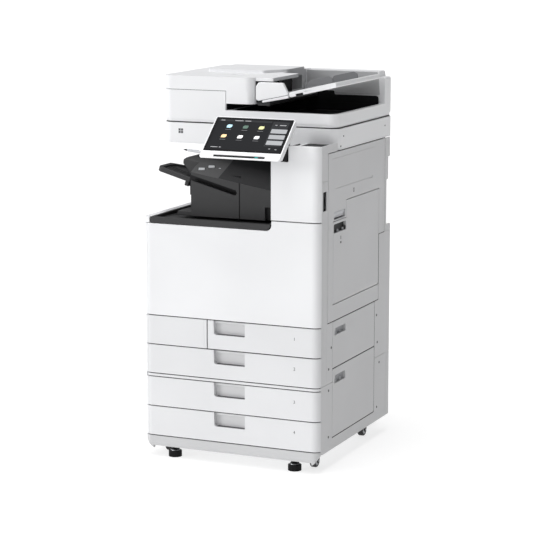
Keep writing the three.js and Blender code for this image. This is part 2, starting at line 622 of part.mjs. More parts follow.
function feederHousing() {
  const tray = prismZ(roundedPlan(0, WIDTH, READER_Y, READER_BACK - 1, 30, 30), FEEDER_Z, RIM_Z);
  const upper = prismZ(roundedPlan(0, BLOCK_X, READER_Y, READER_BACK - 1, 30, 30, true, false),
    RIM_Z - 1, FEEDER_SEAM_Z - 1);
  const wall = [[BLOCK_X - 1, RIM_Z - 1], [WIDTH, RIM_Z - 1], [WIDTH, 1110], [548, 1110],
    [545, FEEDER_TOP_Z], [NECK_X + 5, FEEDER_TOP_Z], [NECK_X + 5, FEEDER_SEAM_Z - 1],
    [BLOCK_X - 1, FEEDER_SEAM_Z - 1]];
  const back = prismY(wall, BACK_WALL_Y, READER_BACK - 1);
  const well = prismZ(roundedPlan(BLOCK_X + 9, WIDTH - 15, READER_Y + 14, BACK_WALL_Y - 1, 30, 30),
    FEEDER_Z + 14, RIM_Z + 1);
  const rollerBay = box(60, BLOCK_X + 1, 170, 505, 1040, FEEDER_SEAM_Z);
  const exitGuide = box(NECK_X + 6, 345, CHEEK_Y - 3, BACK_WALL_Y + 1, 1047, 1057);
  const cheek = prismY([[NECK_X + 6, 1056], [345, 1056], [407, 1066], [407, 1079], [390, 1116],
    [NECK_X + 12, 1116], [NECK_X + 6, 1100]], CHEEK_Y - 3, CHEEK_Y + 9);
  return join(cut(join(tray, upper), well, rollerBay), back, exitGuide, cheek);
}
add(machine, 'feeder_housing', feederHousing(), WHITE);

function feederTopCover() {
  const plan = roundedPlan(0, NECK_X, READER_Y, BACK_WALL_Y - 2, 30, 30);
  const lid = prismZ(plan, FEEDER_SEAM_Z + 0.5, FEEDER_TOP_Z);
  const rearStrip = box(0, NECK_X, BACK_WALL_Y - 3, READER_BACK - 2, FEEDER_SEAM_Z + 0.5, FEEDER_TOP_Z);
  const neckPlan = roundedPlan(BLOCK_X + HINGE_CLEAR, NECK_X, READER_Y, BACK_WALL_Y - 2, 25, 30, false, true);
  const neck = prismZ(neckPlan, 1050, FEEDER_SEAM_Z + 1);
  const visor = box(NECK_X - 1, 355, CHEEK_Y + 12, 347, 1118, FEEDER_TOP_Z);
  const crownBack = BACK_WALL_Y - 2;
  const crownPlan = outline([[66, 312], [253, 312], [NECK_X, 388], [NECK_X, crownBack], [66, crownBack]]);
  const crown = prismZ(crownPlan, FEEDER_TOP_Z - 1, CROWN_Z);
  const hollowFront = READER_Y + 30;
  const hollowBack = BACK_WALL_Y - 12;
  const hollow = box(SKIN + 6, NECK_X - SKIN, hollowFront, hollowBack, FEEDER_SEAM_Z, FEEDER_TOP_Z - 5);
  const neckHollow = box(BLOCK_X + 8, NECK_X - SKIN, hollowFront, hollowBack, 1053, FEEDER_SEAM_Z + 2);
  const neckMouth = box(NECK_X - 5, NECK_X + 1, hollowFront + 10, hollowBack - 8, 1070, 1112);
  return cut(join(lid, rearStrip, neck, visor, crown), hollow, neckHollow, neckMouth);
}
add(machine, 'feeder_top_cover', feederTopCover(), WHITE);

// Document tray: turned about its pivot, so its own x runs up the slope.
const TRAY_PIVOT = { x: 352, z: 1064 };
const TRAY_SLOPE = THREE.MathUtils.degToRad(-13);
const TRAY_LENGTH = 213;
const TRAY_BACK = 500;
const GUIDES = [230, 430];
const GUIDE_X = 112;

function documentTray() {
  const bed = box(-4, TRAY_LENGTH, CHEEK_Y + 12, TRAY_BACK, 0, 10);
  const band = box(66, TRAY_LENGTH, READER_Y + 2, CHEEK_Y + 13, -3, 12);
  const outerBand = box(TRAY_LENGTH - 12, TRAY_LENGTH, READER_Y + 2, TRAY_BACK, -3, 12);
  const pivot = cylinder('y', 5, CHEEK_Y + 12, TRAY_BACK, 0, 4.5);
  const tracks = GUIDES.map((y) => box(GUIDE_X - 5, GUIDE_X + 5, y - 85, y + 60, 4, 11));
  return cut(join(bed, band, outerBand, pivot), ...tracks);
}

function paperGuide(y, inward) {
  const wall = box(GUIDE_X - 32, GUIDE_X + 55, y - 2, y + 2, 10 + CLEAR, 34);
  const far = y + inward * 26;
  const shoe = box(GUIDE_X - 22, GUIDE_X + 22, Math.min(y, far), Math.max(y, far), 10 + CLEAR, 14);
  const key = box(GUIDE_X - 4.4, GUIDE_X + 4.4, y - 8, y + 8, 4 + CLEAR, 12);
  return join(wall, shoe, key);
}
const trayGroup = turnedGroup(TRAY_PIVOT.x, 0, TRAY_PIVOT.z, 0, TRAY_SLOPE);
add(trayGroup, 'document_tray', documentTray(), WHITE);
add(trayGroup, 'paper_guide_front', paperGuide(GUIDES[0], -1), GREY);
add(trayGroup, 'paper_guide_rear', paperGuide(GUIDES[1], 1), GREY);

// ---- Control panel --------------------------------------------------------------------------------------
const PANEL = { x: 353.6, y: -92, z: 918.3, half: 125.3, length: 161.7, thick: 18 };
const PANEL_TILT = THREE.MathUtils.degToRad(40.65);
const SCREEN = { half: 121, low: 27, high: 158, thick: 3 };
const PANEL_PIVOT = { y: 8, z: 946, radius: 11 };
const PIN_RADIUS = 4;

function plateWithRoundCorners(half, low, high, radius, z0, z1) {
  const shape = new THREE.Shape();
  shape.absarc(half - radius, low + radius, radius, -Math.PI / 2, 0, false);
  shape.absarc(half - radius, high - radius, radius, 0, Math.PI / 2, false);
  shape.absarc(radius - half, high - radius, radius, Math.PI / 2, Math.PI, false);
  shape.absarc(radius - half, low + radius, radius, Math.PI, Math.PI * 1.5, false);
  return prismZ(shape, z0, z1);
}

// The pivot in the panel's own turned frame: u up the slope, w out of the screen.
function pivotInPanel() {
  const dy = PANEL_PIVOT.y - PANEL.y;
  const dz = PANEL_PIVOT.z - PANEL.z;
  const c = Math.cos(PANEL_TILT);
  const s = Math.sin(PANEL_TILT);
  return { u: dy * c + dz * s, w: dz * c - dy * s };
}

// Round rod on the pen's axis: [radius, length], the length running into the panel from its left edge.
const PEN = { u: 25, w: -9, tilt: THREE.MathUtils.degToRad(7.2) };
function penRod(profile) {
  const geometry = new THREE.LatheGeometry(profile.map(([r, l]) => new THREE.Vector2(r, l)), 16);
  geometry.rotateZ(-Math.PI / 2 - PEN.tilt);
  geometry.translate(-PANEL.half, PEN.u, PEN.w);
  return toSolid(geometry);
}

function controlPanel() {
  const { half, length, thick } = PANEL;
  const { u, w } = pivotInPanel();
  const plate = plateWithRoundCorners(half, 0, length, 7, -thick, 0);
  const chamfer = prismX([[-1, -4], [0, -4], [17, -thick], [17, -thick - 1], [-1, -thick - 1]],
    -half - 1, half + 1);
  const shell = cut(plate, chamfer);
  const pocket = box(-SCREEN.half - CLEAR, SCREEN.half + CLEAR, SCREEN.low - CLEAR, SCREEN.high + CLEAR,
    -SCREEN.thick - CLEAR, 1);
  const lug = join(
    cylinder('x', PANEL_PIVOT.radius, 72, 88, u, w),
    box(72, 88, u - 10, u + 10, w, -thick + 1),
  );
  const penHole = penRod([[0, -15], [4.6, -15], [4.6, 31], [0, 31]]);
  const bore = cylinder('x', PIN_RADIUS + 0.4, 71, 89, u, w, 16);
  return cut(join(shell, lug), pocket, bore, penHole);
}
const panelGroup = turnedGroup(PANEL.x, PANEL.y, PANEL.z, PANEL_TILT, 0);
add(panelGroup, 'control_panel', controlPanel(), 0xf6f7f8, 0.45);
const screenPlate = plateWithRoundCorners(SCREEN.half, SCREEN.low, SCREEN.high, 3, -SCREEN.thick, 0);
add(panelGroup, 'touch_screen', screenPlate, 0x0c0d0f, 0.1);

add(panelGroup, 'stylus', penRod([[0, -63], [1, -63], [4, -47], [4, 28], [0, 28]]), 0xb9bcc0, 0.4);

function panelBracket() {
  const { y, z, radius } = PANEL_PIVOT;
  const post = box(446, 465, y - radius, y + radius, LEDGE_Z + CLEAR, z);
  const head = cylinder('x', radius, 446, 465, y, z);
  const foot = box(426, 465, y - radius + 4, y + 60, LEDGE_Z + CLEAR, LEDGE_Z + 8);
  const pin = cylinder('x', PIN_RADIUS, 421, 447, y, z, 16);
  return join(post, head, foot, pin);
}
add(machine, 'panel_bracket', panelBracket(), BLACK, 0.6);

// ---- Casters and levelling feet -------------------------------------------------------------------------
const CASTERS = [[45, 66], [520, 66], [49, 462], [516, 462]];
const WHEEL_RADIUS = 20;
const WHEEL_WIDTH = 18;
const TRAIL = 14;

function casterFork(x, y) {
  const cheek = (dx) => prismX([[y - 10, 44], [y + 16, 44], [y + TRAIL + 7, 20], [y + TRAIL, 13],
    [y + TRAIL - 8, 18]], x + dx - 1.5, x + dx + 1.5);
  return join(
    cylinder('z', 21, 43, 53.5, x, y),
    cheek(-WHEEL_WIDTH / 2 - 2.5),
    cheek(WHEEL_WIDTH / 2 + 2.5),
    cylinder('x', 3, x - 13.5, x + 13.5, y + TRAIL, 20, 12),
  ).translate([0, 0, FLOOR_Z]);
}

function casterWheel(x, y) {
  const half = WHEEL_WIDTH / 2;
  const profile = [[3.4, -half], [18, -half], [WHEEL_RADIUS, 2 - half], [WHEEL_RADIUS, half - 2],
    [18, half], [3.4, half], [3.4, -half]].map(([r, l]) => new THREE.Vector2(r, l));
  const geometry = new THREE.LatheGeometry(profile, ROUND);
  geometry.rotateZ(-Math.PI / 2);
  geometry.translate(x, y + TRAIL, FLOOR_Z + WHEEL_RADIUS);
  return toSolid(geometry);
}
CASTERS.forEach(([x, y], index) => {
  add(machine, `caster_fork_${index + 1}`, casterFork(x, y), STEEL, 0.4, 0.8);
  add(machine, `caster_wheel_${index + 1}`, casterWheel(x, y), BLACK, 0.7);
});

function adjuster(x, y) {
  return join(
    cylinder('z', 20, 0, 23, x, y),
    cylinder('z', 13, 22, 28, x, y),
    cylinder('z', STEM_RADIUS, 27, 58.5, x, y),
  ).translate([0, 0, FLOOR_Z]);
}
ADJUSTERS.forEach(([x, y], index) => add(machine, `levelling_foot_${index + 1}`, adjuster(x, y), BLACK, 0.6));

// ---- Origin: the middle of the footprint, on the floor --------------------------------------------------
machine.updateMatrixWorld(true);
const extent = new THREE.Box3().setFromObject(machine, true);
const centre = extent.getCenter(new THREE.Vector3());
machine.position.set(-centre.x, -centre.y, -extent.min.z);

export default machine;
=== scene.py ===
"""Floor-standing office photocopier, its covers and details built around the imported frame.

Lengths are millimetres in the machine's own layout, turned into metres by at(): x from its left side,
y from its front face going back, z from a level 8 above the floor.
"""
import math

import bmesh
import bpy
from mathutils import Matrix, Vector


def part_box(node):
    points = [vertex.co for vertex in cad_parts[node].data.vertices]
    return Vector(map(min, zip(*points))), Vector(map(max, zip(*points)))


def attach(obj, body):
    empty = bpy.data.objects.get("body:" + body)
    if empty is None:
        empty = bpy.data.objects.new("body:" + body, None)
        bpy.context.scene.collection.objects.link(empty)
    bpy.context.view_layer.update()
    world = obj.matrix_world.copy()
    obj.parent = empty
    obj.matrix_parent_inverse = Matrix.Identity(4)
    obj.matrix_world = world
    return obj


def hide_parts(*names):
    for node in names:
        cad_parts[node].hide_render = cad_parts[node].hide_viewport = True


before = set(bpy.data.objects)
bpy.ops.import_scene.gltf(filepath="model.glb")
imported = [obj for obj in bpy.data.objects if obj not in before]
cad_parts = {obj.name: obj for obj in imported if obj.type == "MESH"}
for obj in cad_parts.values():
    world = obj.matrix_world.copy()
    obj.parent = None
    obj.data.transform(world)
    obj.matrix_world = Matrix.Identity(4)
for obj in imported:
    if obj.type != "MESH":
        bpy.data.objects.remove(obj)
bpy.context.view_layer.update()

MM = 0.001
FLOOR_Z = -8
ORIGIN = Vector((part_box("front_door")[0].x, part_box("front_door")[0].y, -FLOOR_Z * MM))


def at(x, y, z):
    return ORIGIN + Vector((x, y, z)) * MM


def span(node):
    """x0, x1, y0, y1, z0, z1 of a CAD node, in layout millimetres."""
    low, high = ((Vector(corner) - ORIGIN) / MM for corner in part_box(node))
    return low.x, high.x, low.y, high.y, low.z, high.z


def middle_of(node):
    x0, x1, y0, y1, z0, z1 = span(node)
    return Vector(((x0 + x1) / 2, (y0 + y1) / 2, (z0 + z1) / 2))


# ---- Driving dimensions -------------------------------------------------------------------------------
WIDTH = span("front_door")[1]
FRONT_DEPTH = span("front_door")[3]
CORNER_WIDTH = 25
COLUMN_X = span("column_cover")[0]
SIDE_BACK = span("right_side_cover")[3]
READER_Y = span("reader_housing")[2]
DECK_TOP = 702.5
CHASSIS_GAP_X = 544.6
MODULE_SEAM, COLUMN_SEAM = 248, 848
DRAWER_SEAMS = (147.5, 336.5, 425)
MODULE_JOINT = (239.2, 246.6)
SIDE_SKIN = 3


# ---- Materials ----------------------------------------------------------------------------------------
def finish(name, color, roughness=0.5, grain=0.12, grain_scale=1400, drift=0.025, metallic=0.0, coat=0.0,
           specular=0.5):
    """Moulded or painted surface: its tone drifts slowly and a fine grain roughens it."""
    material = bpy.data.materials.new(name)
    material.use_nodes = True
    nodes, links = material.node_tree.nodes, material.node_tree.links
    surface = nodes["Principled BSDF"]
    surface.inputs["Roughness"].default_value = roughness
    surface.inputs["Metallic"].default_value = metallic
    surface.inputs["Coat Weight"].default_value = coat
    surface.inputs["Specular IOR Level"].default_value = specular
    place = nodes.new("ShaderNodeTexCoord")
    tone = nodes.new("ShaderNodeTexNoise")
    tone.inputs["Scale"].default_value = 4
    ramp = nodes.new("ShaderNodeValToRGB")
    ramp.color_ramp.elements[0].position = 0.3
    ramp.color_ramp.elements[1].position = 0.7
    ramp.color_ramp.elements[0].color = (*[c * (1 - drift) for c in color], 1)
    ramp.color_ramp.elements[1].color = (*[min(1, c * (1 + drift)) for c in color], 1)
    links.new(place.outputs["Object"], tone.inputs["Vector"])
    links.new(tone.outputs[0], ramp.inputs[0])
    links.new(ramp.outputs[0], surface.inputs["Base Color"])
    if grain:
        fine = nodes.new("ShaderNodeTexNoise")
        fine.inputs["Scale"].default_value = grain_scale
        bump = nodes.new("ShaderNodeBump")
        bump.inputs["Strength"].default_value = grain
        bump.inputs["Distance"].default_value = 0.0002
        links.new(place.outputs["Object"], fine.inputs["Vector"])
        links.new(fine.outputs[0], bump.inputs["Height"])
        links.new(bump.outputs[0], surface.inputs["Normal"])
    return material


def glow(name, color, strength):
    """Lit area of a display: its own light with a slight unevenness of the backlight."""
    material = finish(name, color, 0.2, grain=0, specular=0.1)
    surface = material.node_tree.nodes["Principled BSDF"]
    ramp = material.node_tree.nodes["Color Ramp"]
    material.node_tree.links.new(ramp.outputs[0], surface.inputs["Emission Color"])
    surface.inputs["Emission Strength"].default_value = strength
    return material


def clear_glass(name):
    material = finish(name, (0.78, 0.88, 0.9), 0.03, grain=0, drift=0.01)
    surface = material.node_tree.nodes["Principled BSDF"]
    surface.inputs["Transmission Weight"].default_value = 0.9
    surface.inputs["IOR"].default_value = 1.5
    return material


WHITE = finish("cover_white", (0.80, 0.805, 0.815), 0.42)
# Side and rear covers' grey: partly the covers' own greyer plastic, partly darkened as painted shade for
# the shaded right side.
GREY = finish("cover_grey", (0.61, 0.612, 0.62), 0.5)
DRAWER_WHITE = finish("drawer_white", (0.72, 0.725, 0.735), 0.45)
# Base cover white, darkened to paint the shade on its downward-tilted face.
BASE_SHADE_WHITE = finish("base_white_painted_shade", (0.56, 0.563, 0.57), 0.45)
LINER = finish("liner_grey", (0.62, 0.63, 0.65), 0.6)
CHARCOAL = finish("charcoal_plastic", (0.035, 0.035, 0.036), 0.55, grain=0.25, drift=0.08,
                  specular=0.35)
BLACK = finish("black_plastic", (0.008, 0.008, 0.009), 0.5, grain=0.2, drift=0.1, specular=0.2)
PANEL_WHITE = finish("panel_white", (0.9, 0.905, 0.915), 0.32, grain=0.04)
SCREEN = finish("screen", (0.004, 0.004, 0.005), 0.3, grain=0, drift=0.2, specular=0.12)
GLASS = clear_glass("platen_glass")
BED_GREY = finish("bed_grey", (0.33, 0.335, 0.345), 0.5)
# Darker grey for the feeder's rear wall face: painted shade.
WALL_SHADE_GREY = finish("wall_grey_painted_shade", (0.43, 0.433, 0.44), 0.5)
GUIDE_GREY = finish("guide_grey", (0.2, 0.203, 0.21), 0.5)
SCREW_STEEL = finish("screw_steel", (0.10, 0.10, 0.105), 0.45, drift=0.08, metallic=0.5)
STEEL = finish("chassis_steel", (0.52, 0.53, 0.55), 0.4, grain=0.1, drift=0.06, metallic=0.85)
CASTER_STEEL = finish("caster_steel", (0.42, 0.43, 0.45), 0.35, drift=0.08, metallic=0.9)
RUBBER = finish("caster_rubber", (0.018, 0.018, 0.019), 0.75, grain=0.4, drift=0.1)
KEY_GREY = finish("key_grey", (0.34, 0.35, 0.36), 0.5)
PEN_GREY = finish("pen_grey", (0.5, 0.51, 0.53), 0.4)
BELT = finish("belt", (0.03, 0.025, 0.022), 0.28, grain=0.03, drift=0.15)
PAPER = finish("paper", (0.86, 0.86, 0.85), 0.8, grain=0.3, drift=0.02)
MARK = finish("mark_grey", (0.10, 0.10, 0.105), 0.6)
SOFT_MARK = finish("mark_light", (0.34, 0.345, 0.36), 0.6)
TONERS = [finish(f"toner_{name}", color, 0.4) for name, color in (
    ("yellow", (0.8, 0.62, 0.03)), ("magenta", (0.6, 0.04, 0.22)),
    ("cyan", (0.02, 0.3, 0.55)), ("black", (0.02, 0.02, 0.02)))]


# ---- Outlines -----------------------------------------------------------------------------------------
def rounded(points, radii, steps=6):
    """An outline with its corners turned into arcs. radii is one number, or one for each corner."""
    count = len(points)
    radii = list(radii) if isinstance(radii, (list, tuple)) else [radii] * count
    result = []
    for i, radius in enumerate(radii):
        corner = Vector(points[i])
        if radius <= 0:
            result.append(tuple(corner))
            continue
        before = (Vector(points[i - 1]) - corner).normalized()
        after = (Vector(points[(i + 1) % count]) - corner).normalized()
        half = before.angle(after) / 2
        centre = corner + (before + after).normalized() * (radius / math.sin(half))
        start = corner + before * (radius / math.tan(half)) - centre
        end = corner + after * (radius / math.tan(half)) - centre
        sweep = start.angle(end)
        for k in range(steps + 1):
            t = k / steps
            arm = start * (math.sin((1 - t) * sweep) / math.sin(sweep))
            arm += end * (math.sin(t * sweep) / math.sin(sweep))
            result.append(tuple(centre + arm))
    return result


def rectangle(a0, a1, b0, b1, radius=0, steps=6):
    return rounded([(a0, b0), (a1, b0), (a1, b1), (a0, b1)], radius, steps)


def ellipse_arc(a, b, ra, rb, start, end, steps=10):
    angles = [math.radians(start + (end - start) * k / steps) for k in range(steps + 1)]
    return [(a + ra * math.cos(t), b + rb * math.sin(t)) for t in angles]


def front_plan(x0, x1, y0, y1, rx, ry, left=True, right=True):
    """Plan of a cover whose front corners are round."""
    start = ellipse_arc(x0 + rx, y0 + ry, rx, ry, 180, 270) if left else [(x0, y0)]
    end = ellipse_arc(x1 - rx, y0 + ry, rx, ry, 270, 360) if right else [(x1, y0)]
    return [(x0, y1), *start, *end, (x1, y1)]


# ---- Solids -------------------------------------------------------------------------------------------
def solid(name, verts, faces):
    mesh = bpy.data.meshes.new(name)
    mesh.from_pydata([at(*v) for v in verts], [], faces)
    edit = bmesh.new()
    edit.from_mesh(mesh)
    bmesh.ops.remove_doubles(edit, verts=edit.verts, dist=1e-7)
    bmesh.ops.recalc_face_normals(edit, faces=edit.faces)
    edit.to_mesh(mesh)
    edit.free()
    obj = bpy.data.objects.new(name, mesh)
    bpy.context.scene.collection.objects.link(obj)
    return obj


def prism(name, axis, outline, start, end):
    """Prism along an axis. Its outline is (y, z) along x, (x, z) along y, and (x, y) along z."""
    place = {"x": lambda a, b, t: (t, a, b), "y": lambda a, b, t: (a, t, b),
             "z": lambda a, b, t: (a, b, t)}[axis]
    n = len(outline)
    verts = [place(a, b, t) for t in (start, end) for a, b in outline]
    sides = [(i, (i + 1) % n, n + (i + 1) % n, n + i) for i in range(n)]
    return solid(name, verts, [tuple(range(n)), tuple(range(n, 2 * n)), *sides])


def box(name, x0, x1, y0, y1, z0, z1, radius=0, axis="z"):
    flat = {"x": (y0, y1, z0, z1), "y": (x0, x1, z0, z1), "z": (x0, x1, y0, y1)}[axis]
    ends = {"x": (x0, x1), "y": (y0, y1), "z": (z0, z1)}[axis]
    return prism(name, axis, rectangle(*flat, radius), *ends)


def boxes(name, places):
    """Several separate boxes as one object."""
    verts, faces = [], []
    for x0, x1, y0, y1, z0, z1 in places:
        first = len(verts)
        verts += [(x, y, z) for x in (x0, x1) for y in (y0, y1) for z in (z0, z1)]
        quads = [(0, 1, 3, 2), (4, 6, 7, 5), (0, 4, 5, 1), (2, 3, 7, 6), (0, 2, 6, 4), (1, 5, 7, 3)]
        faces += [tuple(first + i for i in quad) for quad in quads]
    return solid(name, verts, faces)


def thickened(name, corners, step):
    """Solid between a four-cornered face and the same face moved by a step."""
    moved = [corner + step for corner in corners]
    return solid(name, [tuple(corner) for corner in corners + moved],
                 [(0, 1, 2, 3), (4, 5, 6, 7), (0, 1, 5, 4), (1, 2, 6, 5), (2, 3, 7, 6), (3, 0, 4, 7)])


def turned(name, axis, profile, a, b, sides=48):
    """Profile of (radius, length along the axis), turned about an axis through (a, b)."""
    place = {"x": lambda p, q, t: (t, a + p, b + q), "y": lambda p, q, t: (a + p, t, b + q),
             "z": lambda p, q, t: (a + p, b + q, t)}[axis]
    n = len(profile)
    verts = []
    for k in range(sides):
        angle = 2 * math.pi * k / sides
        verts += [place(r * math.cos(angle), r * math.sin(angle), t) for r, t in profile]
    faces = []
    for k in range(sides):
        here, there = k * n, ((k + 1) % sides) * n
        faces += [(here + i, here + i + 1, there + i + 1, there + i) for i in range(n - 1)]
    obj = solid(name, verts, faces)
    edit = bmesh.new()
    edit.from_mesh(obj.data)
    bmesh.ops.dissolve_degenerate(edit, edges=edit.edges, dist=1e-7)
    edit.to_mesh(obj.data)
    edit.free()
    return obj


def rod(name, axis, radius, start, end, a, b, sides=32):
    return turned(name, axis, [(0, start), (radius, start), (radius, end), (0, end)], a, b, sides)


def apply_modifiers(obj):
    bpy.context.view_layer.update()
    view = bpy.context.evaluated_depsgraph_get()
    mesh = bpy.data.meshes.new_from_object(obj.evaluated_get(view))
    obj.modifiers.clear()
    obj.data = mesh


def combine(obj, operation, others):
    for other in others:
        step = obj.modifiers.new(operation, "BOOLEAN")
        step.operation = operation
        step.solver = "EXACT"
        step.object = other
    apply_modifiers(obj)
    for other in others:
        bpy.data.objects.remove(other)
    return obj


def cut(obj, *others):
    return combine(obj, "DIFFERENCE", others)


def cut_each(obj, *others):
    """One cut after another, for tools that overlap each other."""
    for other in others:
        cut(obj, other)


def join(obj, *others):
    return combine(obj, "UNION", others)


def gather(name, parts):
    """Separate shells made one object."""
    mesh = bpy.data.meshes.new(name)
    edit = bmesh.new()
    for part in parts:
        edit.from_mesh(part.data)
        bpy.data.objects.remove(part)
    edit.to_mesh(mesh)
    edit.free()
    obj = bpy.data.objects.new(name, mesh)
    bpy.context.scene.collection.objects.link(obj)
    return obj


def soften(obj, width, segments=2, angle=30):
    """Rounds a piece's edges that are sharper than an angle."""
    edge = obj.modifiers.new("edge", "BEVEL")
    edge.width = width * MM
    edge.segments = segments
    edge.limit_method = "ANGLE"
    edge.angle_limit = math.radians(angle)


def dress(obj, body, material, replaces=(), bevel=0.8, segments=2, sharp=40):
    """Softens a piece's edges, shades it, gives it its material and lets it ride on a body."""
    if bevel:
        soften(obj, bevel, segments)
        apply_modifiers(obj)
    obj.data.polygons.foreach_set("use_smooth", [True] * len(obj.data.polygons))
    obj.data.set_sharp_from_angle(angle=math.radians(sharp))
    weights = obj.modifiers.new("normals", "WEIGHTED_NORMAL")
    weights.keep_sharp = True
    obj.data.materials.clear()
    obj.data.materials.append(material)
    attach(obj, body)
    if replaces:
        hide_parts(*replaces)
    return obj


def move(obj, point, rotation):
    """Moves a piece built about the layout's origin to a point, turned by a rotation matrix."""
    home = Matrix.Translation(ORIGIN)
    there = Matrix.Translation(Vector(point) * MM) @ rotation
    obj.data.transform(home @ there @ home.inverted())
    return obj


def turn(obj, pivot, angle, axis):
    return move(obj, pivot, Matrix.Rotation(math.radians(angle), 4, axis))


def rollers(name, body, radius, length, starts, x, z, sides, bevel):
    """A row of rubber rollers across the paper path."""
    row = [rod("roller", "y", radius, y, y + length, x, z, sides) for y in starts]
    return dress(gather(name, row), body, RUBBER, bevel=bevel)


def strips(name, places, body, material, bevel=0):
    """Several separate boxes as one dressed piece."""
    return dress(boxes(name, places), body, material, bevel=bevel)


def lathe(name, axis, profile, a, b, sides, body, material, replaces=(), sharp=30):
    """Turned piece whose profile already has its own small chamfers."""
    return dress(turned(name, axis, profile, a, b, sides), body, material, replaces, bevel=0, sharp=sharp)


def screw(name, body, x, y, z, radius=4, facing="x", back=False):
    """Pan-head screw with a cross recess, its head standing out of a side (x) or rear (y) face."""
    sign = -1 if back else 1
    face = {"x": x, "y": y}[facing]
    across = {"x": (y, z), "y": (x, z)}[facing]
    head = turned(name, facing, [(0, face - sign * 0.4), (radius, face - sign * 0.4),
                                 (radius, face + sign * 0.3), (radius * 0.75, face + sign * 0.9),
                                 (0, face + sign * 1.1)], *across, 20)
    a, b = across
    ends = sorted((face + sign * 0.3, face + sign * 2))
    slots = []
    for wide, high in ((radius * 0.55, 0.45), (0.45, radius * 0.55)):
        if facing == "x":
            slots.append(box("slot", *ends, a - wide, a + wide, b - high, b + high))
        else:
            slots.append(box("slot", a - wide, a + wide, *ends, b - high, b + high))
    return dress(cut(head, *slots), body, SCREW_STEEL, bevel=0)


# ---- Camera, light and stage --------------------------------------------------------------------------
CAMERA_AT = (2711.54, -5231.79, 1602.02)
CAMERA_YAW = 23.780
CAMERA_PITCH = 10.021
LENS, SENSOR = 134.7, 36
FLOOR_HALF, FLOOR_GLOW = 60000, 0.74


def camera_and_stage():
    camera = bpy.data.objects.new("camera", bpy.data.cameras.new("camera"))
    camera.data.lens = LENS
    camera.data.sensor_width = SENSOR
    camera.data.clip_end = 200
    camera.location = at(*CAMERA_AT)
    camera.rotation_euler = (math.radians(90 - CAMERA_PITCH), 0, math.radians(CAMERA_YAW))
    bpy.context.scene.collection.objects.link(camera)
    bpy.context.scene.camera = camera

    for name, energy, spread, towards in (("key_light", 0.7, 50, (-0.30, -0.42, 0.86)),
                                          ("window_light", 0.9, 20, (-0.75, -0.60, 0.25)),
                                          ("top_light", 1.6, 25, (0.0, 0.0, 1.0))):
        sun = bpy.data.objects.new(name, bpy.data.lights.new(name, "SUN"))
        sun.data.energy = energy
        sun.data.angle = math.radians(spread)
        sun.rotation_euler = Vector(towards).to_track_quat("Z", "Y").to_euler()
        bpy.context.scene.collection.objects.link(sun)

    world = bpy.data.worlds.new("studio")
    world.use_nodes = True
    nodes, links = world.node_tree.nodes, world.node_tree.links
    background = nodes["Background"]
    place = nodes.new("ShaderNodeTexCoord")
    facing = nodes.new("ShaderNodeVectorMath")
    facing.operation = "DOT_PRODUCT"
    facing.inputs[1].default_value = (-0.80, -0.55, 0.24)
    ramp = nodes.new("ShaderNodeValToRGB")
    ramp.color_ramp.elements[0].position = 0.30
    ramp.color_ramp.elements[0].color = (0.045, 0.045, 0.047, 1)
    ramp.color_ramp.elements[1].position = 0.85
    ramp.color_ramp.elements[1].color = (0.71, 0.71, 0.72, 1)
    scale = nodes.new("ShaderNodeMapRange")
    scale.inputs["From Min"].default_value = -1
    scale.inputs["From Max"].default_value = 1
    links.new(place.outputs["Generated"], facing.inputs[0])
    links.new(facing.outputs["Value"], scale.inputs["Value"])
    links.new(scale.outputs[0], ramp.inputs[0])
    links.new(ramp.outputs[0], background.inputs["Color"])
    bpy.context.scene.world = world

    half = FLOOR_HALF
    corners = [(-half, -half, FLOOR_Z), (half, -half, FLOOR_Z), (half, half, FLOOR_Z),
               (-half, half, FLOOR_Z)]
    floor = solid("floor", corners, [(0, 1, 2, 3)])
    pale = finish("floor_pale", (0.3, 0.3, 0.3), 0.9, grain=0, drift=0.01)
    lift = pale.node_tree.nodes["Principled BSDF"]
    lift.inputs["Emission Color"].default_value = (1, 1, 1, 1)
    lift.inputs["Emission Strength"].default_value = FLOOR_GLOW
    floor.data.materials.append(pale)
    bpy.context.scene.view_settings.view_transform = "Standard"


# ---- Front covers and drawers -------------------------------------------------------------------------
GRIP_LEFT, GRIP_RIGHT, GRIP_HEIGHT, GRIP_DEPTH = 229, 330, 42, 15


def cover_plan(x0, x1, left=True, right=True):
    return front_plan(x0, x1, 0, FRONT_DEPTH, CORNER_WIDTH, FRONT_DEPTH, left, right)


def cover_slab(name, node, left=True, right=True):
    x0, x1, _, _, z0, z1 = span(node)
    return prism(name, "z", cover_plan(x0, x1, left, right), z0, z1)


def corner_groove(z0, z1):
    """Fine vertical groove where a cover's round left corner begins."""
    return box("groove", 12.4, 13.4, -1, 3.2, z0 - 1, z1 + 1)


